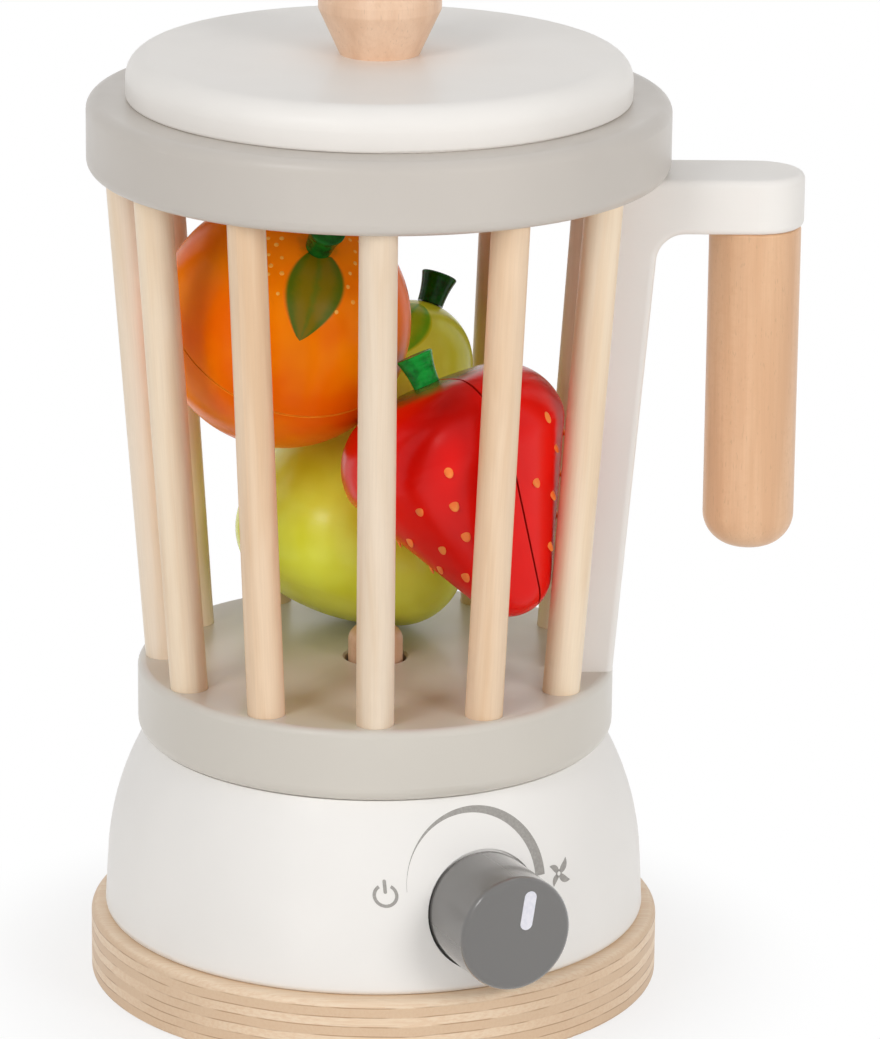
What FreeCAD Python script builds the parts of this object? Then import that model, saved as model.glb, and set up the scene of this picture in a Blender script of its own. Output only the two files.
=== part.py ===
import FreeCAD, Part
import os

import Sketcher

# A wooden toy blender: a plywood base carries a turned housing with a dial. The jug is a
# cage of raked dowels between a floor disc and a ring, and it lifts off a centre peg. A
# bracket on its right side holds the grip, and a lid with a turned knob closes the mouth.
# Three wooden play fruits lie in the jug: a pear, a strawberry and an orange.
#
# The row stands on z = 0 with the base's centre at the origin. The front is -Y and the
# handle is on +X. Azimuths are measured from the front, positive towards the handle.

# Driving dimensions: name, value in millimetres or degrees, what it is.
SIZES = (
    ("base_overhang", 3.7, "plywood base beyond the housing's foot, all round"),
    ("base_thickness", 18.0, "plywood base"),
    ("base_lower_round", 1.4, "rounding under the base's rim"),
    ("base_upper_round", 2.0, "rounding on the base's rim"),
    ("housing_height", 48.9, "turned housing, foot to top"),
    ("housing_foot_radius", 71.3, "housing at its foot, before rounding"),
    ("housing_foot_round", 1.8, "rounding of the housing's foot"),
    ("shoulder_rise", 14.7, "height above the foot where the shoulder begins"),
    ("shoulder_radius", 70.5, "housing where the shoulder begins"),
    ("shoulder_curve", 72.6, "radius of the shoulder's arc in profile"),
    ("housing_top_radius", 60.0, "housing at its top"),
    ("housing_wall", 9.0, "thickness of the turned wall"),
    ("housing_roof", 15.0, "thickness of the housing's top"),
    ("peg_radius", 7.2, "peg that centres the jug"),
    ("peg_rise", 8.5, "peg above the jug's floor"),
    ("peg_socket_depth", 12.0, "blind hole for the peg"),
    ("peg_round", 4.0, "rounding of the peg's top"),
    ("peg_clearance", 0.9, "radial gap between the peg and the jug's floor"),
    ("floor_radius", 62.4, "jug floor, outside"),
    ("floor_thickness", 19.3, "jug floor"),
    ("floor_lower_round", 3.8, "rounding under the floor's rim"),
    ("floor_upper_round", 2.0, "rounding on the floor's rim"),
    ("hole_chamfer", 0.6, "chamfer round the floor's centre hole"),
    ("cage_height", 131.7, "clear height between floor and ring"),
    ("dowel_radius", 4.85, "cage dowels"),
    ("dowel_foot_circle", 55.5, "radius of the dowels' circle on the floor"),
    ("dowel_head_circle", 65.6, "radius of the dowels' circle under the ring"),
    ("dowel_place_count", 12, "places round the cage, one of them the bracket's"),
    ("socket_depth", 12.0, "how deep a dowel is seated at each end"),
    ("ring_radius", 75.0, "top ring, outside"),
    ("ring_bore", 55.0, "top ring, inside"),
    ("ring_thickness", 18.9, "top ring"),
    ("ring_outer_round", 3.2, "rounding of the ring's outer edges"),
    ("ring_inner_round", 1.5, "rounding of the ring's inner edges"),
    ("bracket_width", 25.0, "width of the handle bracket's board"),
    ("strip_depth", 15.5, "depth of the bracket's upright strip"),
    ("strip_inset", 0.5, "strip back from the floor's rim"),
    ("strip_head_reach", 71.7, "outer face of the strip under the arm"),
    ("arm_reach", 109.5, "end of the bracket's arm from the centre"),
    ("arm_thickness", 14.3, "bracket's arm"),
    ("bracket_corner", 7.5, "inside corner between strip and arm"),
    ("bracket_round", 1.8, "rounding of the bracket's long edges"),
    ("grip_radius", 11.85, "turned grip"),
    ("grip_length", 85.7, "turned grip"),
    ("grip_end_round", 9.0, "rounding of the grip's lower end"),
    ("grip_top_round", 0.8, "rounding of the grip's upper edge"),
    ("grip_dowel_radius", 4.0, "dowel between grip and arm"),
    ("grip_dowel_in_arm", 10.0, "depth of that dowel in the arm"),
    ("grip_dowel_in_grip", 22.0, "depth of that dowel in the grip"),
    ("bracket_dowel_radius", 3.0, "dowels between arm and ring"),
    ("bracket_dowel_depth", 9.0, "depth of those dowels on each side"),
    ("bracket_pitch", 13.0, "spacing of the bracket's dowels and screws"),
    ("lid_radius", 64.9, "lid, outside"),
    ("lid_thickness", 11.2, "lid above the ring"),
    ("lid_top_round", 6.1, "rounding of the lid's upper edge"),
    ("lid_under_round", 0.8, "rounding of the lid's lower edge"),
    ("lid_spigot_depth", 7.0, "turned step that drops into the ring"),
    ("lid_spigot_round", 1.2, "rounding of the step's lower edge"),
    ("lid_clearance", 0.7, "radial gap between step and ring"),
    ("knob_foot_radius", 10.3, "lid knob where it meets the lid"),
    ("knob_radius", 15.8, "lid knob, widest"),
    ("knob_flare_height", 11.8, "height of the knob's flare"),
    ("knob_band", 2.4, "height of the knob's widest band"),
    ("knob_height", 23.0, "lid knob"),
    ("knob_shoulder_round", 1.6, "rounding where flare meets band"),
    ("knob_crown_flat", 4.0, "radius of the nearly flat middle of the crown"),
    ("knob_crown_curve", 12.5, "radius of the crown's arc in profile"),
    ("dial_azimuth", 24.3, "direction of the dial from the front"),
    ("dial_rise", 20.6, "dial's axis above the base's top"),
    ("dial_radius", 15.1, "dial"),
    ("dial_length", 22.2, "dial, back to face"),
    ("dial_face_round", 1.8, "rounding round the dial's face"),
    ("dial_back_round", 0.8, "rounding round the dial's back"),
    ("dial_seat", 65.8, "flat that the dial turns against, from the centre"),
    ("dial_web", 5.5, "wall left between the outer and the inner flat"),
    ("dial_gap", 0.3, "gap between the dial and its flat"),
    ("dial_rim_gap", 0.5, "radial gap between the dial and its recess"),
    ("spindle_radius", 4.0, "dowel that the dial turns on"),
    ("spindle_in_dial", 14.0, "depth of the spindle in the dial"),
    ("spindle_clearance", 0.08, "running gap between spindle and wall"),
    ("washer_radius", 7.5, "washer behind the wall"),
    ("washer_thickness", 1.5, "washer behind the wall"),
    ("washer_rim_gap", 1.0, "radial gap between the washer and its flat"),
    ("screw_radius", 1.75, "wood screws, shank"),
    ("screw_head_radius", 3.5, "wood screws, head"),
    ("screw_tip", 3.0, "length of a wood screw's point"),
    ("screw_grip", 14.0, "how far a wood screw goes into the far piece"),
    ("screw_sink", 0.4, "screw head below the surface"),
    ("base_screw_count", 4, "screws between base and housing"),
    ("glue_gap", 0.05, "radial gap round a glued dowel or a screw"),
    ("end_gap", 0.3, "gap past the end of a dowel or screw"),
    ("overrun", 5.0, "how far a cutter runs past what it cuts"),
    ("pear_radius", 31.13, "pear, widest"),
    ("pear_bottom", 19.71, "height of the pear below its widest place"),
    ("pear_hip_curve", 17.37, "radius of the pear's arc below its widest place"),
    ("pear_shoulder_curve", 24.31, "radius of the pear's arc above its widest place"),
    ("pear_neck_radius", 16.58, "round upper end of the pear"),
    ("pear_neck_rise", 51.07, "centre of that round end above the widest place"),
    ("pear_x", -6.93, "middle of the pear's widest place, to the right"),
    ("pear_y", 20.51, "middle of the pear's widest place, to the back"),
    ("pear_seat", 16.0, "middle of the pear's widest place above the peg"),
    ("pear_tilt", 29.2, "lean of the pear's axis"),
    ("pear_heading", 140.8, "direction in which the pear leans"),
    ("pear_spin", -52.3, "turn of the pear about its own axis"),
    ("strawberry_radius", 30.16, "strawberry, widest"),
    ("strawberry_crown", 17.79, "height of the strawberry above its widest place"),
    ("strawberry_crown_curve", 16.77, "radius of the strawberry's arc above its widest place"),
    ("strawberry_hip_curve", 8.48, "radius of the strawberry's arc below its widest place"),
    ("strawberry_tip_radius", 11.32, "round lower end of the strawberry"),
    ("strawberry_tip_drop", 35.03, "centre of that round end below the widest place"),
    ("strawberry_x", 19.78, "middle of the strawberry's widest place, to the right"),
    ("strawberry_y", -20.1, "middle of the strawberry's widest place, to the back"),
    ("strawberry_rise", 38.2, "middle of the strawberry's widest place above the pear's"),
    ("strawberry_tilt", 26.2, "lean of the strawberry's axis"),
    ("strawberry_heading", 245.6, "direction in which the strawberry leans"),
    ("strawberry_spin", 138.5, "turn of the strawberry about its own axis"),
    ("orange_radius", 33.0, "orange"),
    ("orange_x", -24.3, "orange's centre, to the right"),
    ("orange_y", 2.38, "orange's centre, to the back"),
    ("orange_rise", 65.7, "orange's centre above the pear's widest place"),
    ("orange_tilt", 41.5, "lean of the orange's axis"),
    ("orange_heading", 24.9, "direction in which the orange leans"),
    ("orange_seam_rise", 4.2, "orange's seam above its centre"),
    ("fruit_seam", 0.5, "saw gap between the halves of a fruit"),
    ("seam_offset", 2.9, "upright seam off a fruit's axis, so that one half holds the stalk"),
    ("pad_radius", 6.0, "hook-and-loop pad that holds two halves together"),
    ("pad_depth", 1.2, "how deep the pad is let into each half"),
    ("stalk_shank_radius", 2.3, "end of a stalk glued into its fruit"),
    ("stalk_shank_depth", 8.0, "how deep a stalk is glued in"),
    ("stalk_foot_radius", 3.5, "stalk where it leaves the fruit"),
    ("stalk_head_radius", 5.0, "stalk at its flared end"),
    ("stalk_height", 8.2, "stalk above the fruit"),
    ("stalk_flare_curve", 26.0, "radius of the stalk's hollow flank in profile"),
    ("stalk_head_round", 0.5, "rounding of the stalk's flared end"),
)
# How near two numbers lie to count as the same one, in millimetres.
SAME = 1e-4

# Places worked out from the driving dimensions, as spreadsheet expressions.
HOUSING_TOP = "(Sizes.base_thickness + Sizes.housing_height)"
FLOOR_TOP = f"({HOUSING_TOP} + Sizes.floor_thickness)"
RING_BOTTOM = f"({FLOOR_TOP} + Sizes.cage_height)"
RING_TOP = f"({RING_BOTTOM} + Sizes.ring_thickness)"
LID_TOP = f"({RING_TOP} + Sizes.lid_thickness)"
LID_BOTTOM = f"({RING_TOP} - Sizes.lid_spigot_depth)"
ARM_BOTTOM = f"({RING_BOTTOM} - Sizes.arm_thickness)"
ROOF_UNDERSIDE = f"({HOUSING_TOP} - Sizes.housing_roof)"
SHOULDER_HEIGHT = "(Sizes.base_thickness + Sizes.shoulder_rise)"
DIAL_HEIGHT = "(Sizes.base_thickness + Sizes.dial_rise)"
DIAL_INNER_FLAT = "(Sizes.dial_seat - Sizes.dial_web)"
DOWEL_LEAN = "atan((Sizes.dowel_head_circle - Sizes.dowel_foot_circle) / Sizes.cage_height)"
DOWEL_CLEAR_LENGTH = f"(Sizes.cage_height / cos({DOWEL_LEAN}))"
SOCKET_RADIUS = "(Sizes.dowel_radius + Sizes.glue_gap)"
STRIP_FOOT_OUTER = "(Sizes.floor_radius - Sizes.strip_inset)"
STRIP_RISE = "(Sizes.cage_height - Sizes.arm_thickness)"
STRIP_LEAN = f"atan((Sizes.strip_head_reach - {STRIP_FOOT_OUTER}) / {STRIP_RISE})"
STRIP_RUN = f"(Sizes.strip_depth / cos({STRIP_LEAN}))"
STRIP_FOOT_INNER = f"({STRIP_FOOT_OUTER} - {STRIP_RUN})"
STRIP_FOOT_MIDDLE = f"({STRIP_FOOT_OUTER} - {STRIP_RUN} / 2)"
STRIP_HEAD_INNER = f"({STRIP_FOOT_INNER} + Sizes.cage_height * tan({STRIP_LEAN}))"
GRIP_AXIS = "(Sizes.arm_reach - Sizes.bracket_width / 2)"
RING_MIDDLE = "((Sizes.ring_radius + Sizes.ring_bore) / 2)"
WALL_MIDDLE = "(Sizes.housing_foot_radius - Sizes.housing_wall / 2)"
SCREW_HOLE = "(Sizes.screw_radius + Sizes.glue_gap)"
SCREW_HEAD_HEIGHT = "(Sizes.screw_head_radius - Sizes.screw_radius)"
PILOT_DEPTH = "(Sizes.screw_grip + Sizes.end_gap)"
BASE_RADIUS = "(Sizes.housing_foot_radius + Sizes.base_overhang)"
PEAR_HEIGHT = f"({FLOOR_TOP} + Sizes.peg_rise + Sizes.pear_seat)"

doc = FreeCAD.newDocument("toy_blender")
sheet = doc.addObject("Spreadsheet::Sheet", "Sizes")
for row, (alias, number, meaning) in enumerate(SIZES, start=1):
    sheet.set(f"A{row}", meaning)
    sheet.set(f"B{row}", str(number))
    sheet.setAlias(f"B{row}", alias)
doc.recompute()

nodes = []


def worth(expression):
    """The number that an expression has with the sheet's present values."""
    result = sheet.evalExpression(expression)
    return float(getattr(result, "Value", result))


def bind(thing, **expressions):
    """Tie properties of a document object to expressions."""
    for name, expression in expressions.items():
        thing.setExpression(name, str(expression))
    return thing


def placed(x="0", y="0", height="0", yaw="0", pitch="0", spin="0"):
    """A placement expression: spin about Z, pitch that tips +Z towards +X, then yaw about Z."""
    vector = f"create(<<vector>>; {x}; {y}; {height})"
    rotation = f"create(<<rotation>>; {yaw}; {pitch}; 0)"
    if spin != "0":
        rotation = f"{rotation} * create(<<rotation>>; {spin}; 0; 0)"
    return f"create(<<placement>>; {vector}; {rotation})"


def keep(thing, name):
    """Name a finished sub-part and list it for export."""
    thing.Label = name
    nodes.append(thing)
    return thing


# ---------------------------------------------------------------- sketches and features


def new_body(name):
    return doc.addObject("PartDesign::Body", name)


def sketch_on(body, name, role, offset=None):
    """A sketch on one of the body's origin planes, moved by an optional offset expression."""
    sketch = body.newObject("Sketcher::SketchObject", name)
    plane = next(part for part in body.Origin.OriginFeatures if part.Role == role)
    sketch.AttachmentSupport = [(plane, "")]
    sketch.MapMode = "FlatFace"
    if offset:
        sketch.setExpression("AttachmentOffset", offset)
    doc.recompute()
    return sketch


def lifted(height):
    """Offset expression that lifts a sketch on the XY plane to a height."""
    return placed(height=height)


def hold_point(sketch, geometry, end, across, up):
    """Dimension one point of a sketch from the sketch's origin."""
    for kind, axis, expression in (("DistanceX", -2, across), ("DistanceY", -1, up)):
        if expression == "0":
            sketch.addConstraint(Sketcher.Constraint("PointOnObject", geometry, end, axis))
            continue
        rule = Sketcher.Constraint(kind, -1, 1, geometry, end, worth(expression))
        index = sketch.addConstraint(rule)
        sketch.setExpression(f"Constraints[{index}]", expression)


def circle(sketch, radius, across="0", up="0"):
    """A dimensioned circle."""
    centre = FreeCAD.Vector(worth(across), worth(up), 0)
    geometry = sketch.addGeometry(Part.Circle(centre, FreeCAD.Vector(0, 0, 1), worth(radius)))
    hold_point(sketch, geometry, 3, across, up)
    index = sketch.addConstraint(Sketcher.Constraint("Radius", geometry, worth(radius)))
    sketch.setExpression(f"Constraints[{index}]", radius)


def arc_between(start, end, radius):
    """A short arc that turns left from start to end, or right if the radius is negative."""
    chord = end - start
    half = chord.Length / 2
    reach = (radius**2 - half**2) ** 0.5
    left = FreeCAD.Vector(-chord.y, chord.x, 0).normalize()
    centre = (start + end) / 2 + left * (reach if radius > 0 else -reach)
    normal = FreeCAD.Vector(0, 0, 1)
    rays = (start - centre, end - centre) if radius > 0 else (end - centre, start - centre)
    base = FreeCAD.Vector(1, 0, 0)
    first, last = (ray.getAngle(base) * (1 if ray.y >= 0 else -1) for ray in rays)
    return Part.ArcOfCircle(Part.Circle(centre, normal, abs(radius)), first, last)


def outline(sketch, corners):
    """A closed outline through corners (across, up) or (across, up, arc to the next one).

    The arc is a radius expression; with a minus sign in front the arc turns right.
    """
    points = [FreeCAD.Vector(worth(corner[0]), worth(corner[1]), 0) for corner in corners]
    ends = []
    for place, corner in enumerate(corners):
        start = points[place]
        end = points[(place + 1) % len(points)]
        if len(corner) == 2:
            geometry = sketch.addGeometry(Part.LineSegment(start, end))
            ends.append((geometry, 1, 2))
            continue
        turns_right = corner[2].startswith("-")
        size = corner[2].lstrip("-")
        radius = worth(size)
        geometry = sketch.addGeometry(arc_between(start, end, -radius if turns_right else radius))
        ends.append((geometry, 2, 1) if turns_right else (geometry, 1, 2))
        index = sketch.addConstraint(Sketcher.Constraint("Radius", geometry, radius))
        sketch.setExpression(f"Constraints[{index}]", size)
    for place, (geometry, first, last) in enumerate(ends):
        following = ends[(place + 1) % len(ends)]
        join = Sketcher.Constraint("Coincident", geometry, last, following[0], following[1])
        sketch.addConstraint(join)
        hold_point(sketch, geometry, first, corners[place][0], corners[place][1])


def pad(body, name, sketch, length, both_ways=False):
    feature = body.newObject("PartDesign::Pad", name)
    feature.Profile = sketch
    bind(feature, Length=length)
    if both_ways:
        feature.SideType = "Symmetric"
    doc.recompute()
    return feature


def pocket(body, name, sketch, length, with_normal=False):
    """Cut a sketch into the body, against the sketch's normal unless told otherwise."""
    before = body.Shape.Volume
    feature = body.newObject("PartDesign::Pocket", name)
    feature.Profile = sketch
    feature.Reversed = with_normal
    bind(feature, Length=length)
    doc.recompute()
    if body.Shape.Volume > before - SAME:
        raise RuntimeError(f"{name} cuts nothing")
    return feature


def revolve(body, name, sketch):
    feature = body.newObject("PartDesign::Revolution", name)
    feature.Profile = sketch
    feature.ReferenceAxis = (sketch, ["V_Axis"])
    feature.Angle = 360
    doc.recompute()
    return feature


def rim(feature, radius, height):
    """Names of the circular edges of this radius that lie level at this height."""
    names = []
    for number, edge in enumerate(feature.Shape.Edges, start=1):
        curve = edge.Curve
        if not isinstance(curve, Part.Circle) or abs(curve.Axis.z) < 1 - SAME:
            continue
        if abs(curve.Radius - worth(radius)) < SAME and abs(curve.Center.z - worth(height)) < SAME:
            names.append(f"Edge{number}")
    if not names:
        raise RuntimeError(f"{feature.Name} has no rim at radius {radius}, height {height}")
    return names


def dress(body, kind, name, edges, size):
    """Fillet or chamfer the tip's named edges."""
    tip = body.Tip
    feature = body.newObject(f"PartDesign::{kind}", name)
    feature.Base = (tip, edges)
    bind(feature, **{"Radius" if kind == "Fillet" else "Size": size})
    doc.recompute()
    return feature


def round_rim(body, name, radius, height, size):
    return dress(body, "Fillet", name, rim(body.Tip, radius, height), size)


def rod(name, radius, length, placement):
    """A plain dowel, pin or drill as a Part cylinder."""
    thing = doc.addObject("Part::Cylinder", name)
    return bind(thing, Radius=radius, Height=length, Placement=placement)


def bored(body, name, drills):
    """The body less a group of drills, as a named sub-part."""
    tool = doc.addObject("Part::Compound", f"{name}_drills")
    tool.Links = drills
    cut = doc.addObject("Part::Cut", name)
    cut.Base = body
    cut.Tool = tool
    doc.recompute()
    return keep(cut, name)


def group(name, members):
    """Identical pieces that share one sub-part."""
    thing = doc.addObject("Part::Compound", name)
    thing.Links = members
    return keep(thing, name)


def wood_screw(name, length, placement):
    """A countersunk screw: head at the placement's origin, point along its +Z."""
    head = doc.addObject("Part::Cone", f"{name}_head")
    bind(head, Radius1="Sizes.screw_head_radius", Radius2="Sizes.screw_radius", Height=SCREW_HEAD_HEIGHT)
    shank = doc.addObject("Part::Cylinder", f"{name}_shank")
    bind(shank, Radius="Sizes.screw_radius", Height=f"{length} - Sizes.screw_tip")
    point = doc.addObject("Part::Cone", f"{name}_point")
    bind(point, Radius1="Sizes.screw_radius", Height="Sizes.screw_tip")
    point.Radius2 = 0
    bind(point, Placement=placed(height=f"{length} - Sizes.screw_tip"))
    screw = doc.addObject("Part::MultiFuse", name)
    screw.Shapes = [head, shank, point]
    return bind(screw, Placement=placement)


def screw_drill(name, through, x, y, height):
    """Clearance hole with its countersink, opening downwards at this height."""
    hole = rod(f"{name}_hole", SCREW_HOLE, f"{through} + Sizes.overrun", placed(x, y, height))
    sink = doc.addObject("Part::Cone", f"{name}_sink")
    slack = "(Sizes.glue_gap + Sizes.screw_sink)"
    bind(sink, Radius1=f"Sizes.screw_head_radius + {slack}", Radius2=SCREW_HOLE)
    bind(sink, Height=f"{SCREW_HEAD_HEIGHT} + Sizes.screw_sink")
    bind(sink, Placement=placed(x, y, height))
    return [hole, sink]


def about(radius, turn):
    """X and Y expressions of a point on a circle about the centre, by azimuth."""
    return f"({radius}) * sin({turn})", f"-({radius}) * cos({turn})"


def yaw_of(turn):
    """Yaw that points +X along an azimuth."""
    return f"({turn}) - 90deg"


# ---------------------------------------------------------------- base and housing


def make_base():
    """Plywood disc with four countersunk holes for the housing's screws."""
    body = new_body("base_blank")
    face = sketch_on(body, "base_outline", "XY_Plane")
    circle(face, BASE_RADIUS)
    pad(body, "base_disc", face, "Sizes.base_thickness")
    round_rim(body, "base_top_edge", BASE_RADIUS, "Sizes.base_thickness", "Sizes.base_upper_round")
    round_rim(body, "base_low_edge", BASE_RADIUS, "0", "Sizes.base_lower_round")
    drills = []
    screws = []
    for number, turn in enumerate(base_screw_turns(), start=1):
        x, y = about(WALL_MIDDLE, turn)
        drills += screw_drill(f"base_drill_{number}", "Sizes.base_thickness", x, y, "0")
        length = "(Sizes.base_thickness - Sizes.screw_sink + Sizes.screw_grip)"
        place = placed(x, y, "Sizes.screw_sink")
        screws.append(wood_screw(f"base_screw_{number}", length, place))
    bored(body, "base_plate", drills)
    group("base_screws", screws)


def base_screw_turns():
    """Azimuth expressions of the screws between base and housing."""
    count = int(worth("Sizes.base_screw_count"))
    return [f"{place} * 360deg / Sizes.base_screw_count" for place in range(count)]


def dial_sketch(body, name, distance):
    """A sketch square to the dial's axis, centred on it, facing outwards."""
    turn = "Sizes.dial_azimuth * 1deg"
    place = f"create(<<vector>>; {distance} * sin({turn}); {DIAL_HEIGHT}; {distance} * cos({turn}))"
    spin = f"create(<<rotation>>; create(<<vector>>; 0; 1; 0); {turn})"
    return sketch_on(body, name, "XZ_Plane", f"create(<<placement>>; {place}; {spin})")


def make_housing():
    """Turned dome, hollow from below, with flats inside and outside where the dial turns."""
    body = new_body("motor_housing_blank")
    wall = "Sizes.housing_wall"
    half = sketch_on(body, "housing_profile", "XZ_Plane")
    outline(
        half,
        (
            ("Sizes.housing_foot_radius", "Sizes.base_thickness"),
            ("Sizes.shoulder_radius", SHOULDER_HEIGHT, "Sizes.shoulder_curve"),
            ("Sizes.housing_top_radius", HOUSING_TOP),
            ("0", HOUSING_TOP),
            ("0", ROOF_UNDERSIDE),
            (f"Sizes.housing_top_radius - {wall}", ROOF_UNDERSIDE),
            (f"Sizes.shoulder_radius - {wall}", SHOULDER_HEIGHT),
            (f"Sizes.housing_foot_radius - {wall}", "Sizes.base_thickness"),
        ),
    )
    revolve(body, "housing_dome", half)
    foot = "Sizes.housing_foot_radius"
    round_rim(body, "housing_foot_edge", foot, "Sizes.base_thickness", "Sizes.housing_foot_round")

    socket = sketch_on(body, "peg_socket_outline", "XY_Plane", lifted(HOUSING_TOP))
    circle(socket, "Sizes.peg_radius + Sizes.glue_gap")
    pocket(body, "peg_socket", socket, "Sizes.peg_socket_depth + Sizes.end_gap")

    seat = dial_sketch(body, "dial_seat_outline", "Sizes.dial_seat")
    circle(seat, "Sizes.dial_radius + Sizes.dial_rim_gap")
    pocket(body, "dial_recess", seat, "Sizes.dial_length", with_normal=True)

    bore = dial_sketch(body, "dial_bore_outline", "Sizes.dial_seat")
    circle(bore, "Sizes.spindle_radius + Sizes.spindle_clearance")
    pocket(body, "dial_bore", bore, "Sizes.dial_web + Sizes.housing_wall")

    flat = dial_sketch(body, "washer_flat_outline", DIAL_INNER_FLAT)
    circle(flat, "Sizes.washer_radius + Sizes.washer_rim_gap")
    pocket(body, "washer_flat", flat, "Sizes.housing_wall")

    drills = []
    for number, turn in enumerate(base_screw_turns(), start=1):
        x, y = about(WALL_MIDDLE, turn)
        place = placed(x, y, "Sizes.base_thickness")
        drills.append(rod(f"housing_pilot_{number}", SCREW_HOLE, PILOT_DEPTH, place))
    bored(body, "motor_housing", drills)


def make_peg():
    """Peg glued in the housing's top, round-nosed so that the jug drops over it."""
    body = new_body("centre_peg")
    face = sketch_on(body, "peg_outline", "XY_Plane", lifted(f"{HOUSING_TOP} - Sizes.peg_socket_depth"))
    circle(face, "Sizes.peg_radius")
    length = "Sizes.peg_socket_depth + Sizes.floor_thickness + Sizes.peg_rise"
    pad(body, "peg_shaft", face, length)
    round_rim(body, "peg_nose", "Sizes.peg_radius", f"{FLOOR_TOP} + Sizes.peg_rise", "Sizes.peg_round")
    keep(body, "centre_peg")


# ---------------------------------------------------------------- dial


def on_dial_axis(distance):
    """Placement that points +Z outwards along the dial's axis, this far from the centre."""
    turn = "Sizes.dial_azimuth * 1deg"
    x, y = about(distance, turn)
    return placed(x, y, DIAL_HEIGHT, yaw=yaw_of(turn), pitch="90deg")


def make_dial():
    """Turned dial with its spindle, held behind the wall by a washer and a screw."""
    body = new_body("dial")
    face = sketch_on(body, "dial_outline", "XY_Plane")
    circle(face, "Sizes.dial_radius")
    pad(body, "dial_block", face, "Sizes.dial_length")
    round_rim(body, "dial_face_edge", "Sizes.dial_radius", "Sizes.dial_length", "Sizes.dial_face_round")
    round_rim(body, "dial_back_edge", "Sizes.dial_radius", "0", "Sizes.dial_back_round")
    bore = sketch_on(body, "dial_socket_outline", "XY_Plane")
    circle(bore, "Sizes.spindle_radius + Sizes.glue_gap")
    depth = "Sizes.spindle_in_dial + Sizes.end_gap"
    pocket(body, "dial_socket", bore, depth, with_normal=True)
    bind(body, Placement=on_dial_axis("Sizes.dial_seat + Sizes.dial_gap"))
    keep(body, "dial")

    behind = f"({DIAL_INNER_FLAT} - Sizes.dial_gap)"
    length = "Sizes.dial_web + 2 * Sizes.dial_gap + Sizes.spindle_in_dial"
    shaft = rod("spindle_shaft", "Sizes.spindle_radius", length, on_dial_axis(behind))
    screw_back = f"{behind} - Sizes.washer_thickness"
    pilot = rod("spindle_pilot", SCREW_HOLE, PILOT_DEPTH, on_dial_axis(behind))
    spindle = doc.addObject("Part::Cut", "dial_spindle")
    spindle.Base = shaft
    spindle.Tool = pilot
    keep(spindle, "dial_spindle")

    disc = rod("washer_disc", "Sizes.washer_radius", "Sizes.washer_thickness", on_dial_axis(screw_back))
    eye = rod("washer_eye", SCREW_HOLE, "Sizes.washer_thickness", on_dial_axis(screw_back))
    washer = doc.addObject("Part::Cut", "dial_washer")
    washer.Base = disc
    washer.Tool = eye
    keep(washer, "dial_washer")

    head_height = SCREW_HEAD_HEIGHT
    head_back = on_dial_axis(f"{screw_back} - {head_height}")
    head = rod("dial_screw_head", "Sizes.screw_head_radius", head_height, head_back)
    length = "Sizes.washer_thickness + Sizes.screw_grip"
    shank = rod("dial_screw_shank", "Sizes.screw_radius", length, on_dial_axis(screw_back))
    screw = doc.addObject("Part::MultiFuse", "dial_screw")
    screw.Shapes = [head, shank]
    keep(screw, "dial_screw")


# ---------------------------------------------------------------- jug


def dowel_turns():
    """Number and azimuth expression of each dowel, leaving out the bracket's place."""
    count = int(worth("Sizes.dowel_place_count"))
    bracket_place = round(count / 4)
    places = [place for place in range(count) if place != bracket_place]
    return [(place, f"{place} * 360deg / Sizes.dowel_place_count") for place in places]


def along_dowel(turn, height, run):
    """Placement on a dowel's centre line, this run below its foot on the jug's floor."""
    circle_radius = f"(Sizes.dowel_foot_circle - ({run}) * sin({DOWEL_LEAN}))"
    x, y = about(circle_radius, turn)
    level = f"{height} - ({run}) * cos({DOWEL_LEAN})"
    return placed(x, y, level, yaw=yaw_of(turn), pitch=DOWEL_LEAN)


def make_dowels():
    """Raked dowels, seated at both ends."""
    length = f"{DOWEL_CLEAR_LENGTH} + 2 * Sizes.socket_depth"
    for number, (_, turn) in enumerate(dowel_turns(), start=1):
        name = f"dowel_{number:02d}"
        place = along_dowel(turn, FLOOR_TOP, "Sizes.socket_depth")
        keep(rod(name, "Sizes.dowel_radius", length, place), name)


def bracket_offsets():
    """Y expressions of the bracket's paired dowels and screws."""
    return ("-Sizes.bracket_pitch / 2", "Sizes.bracket_pitch / 2")


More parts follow.
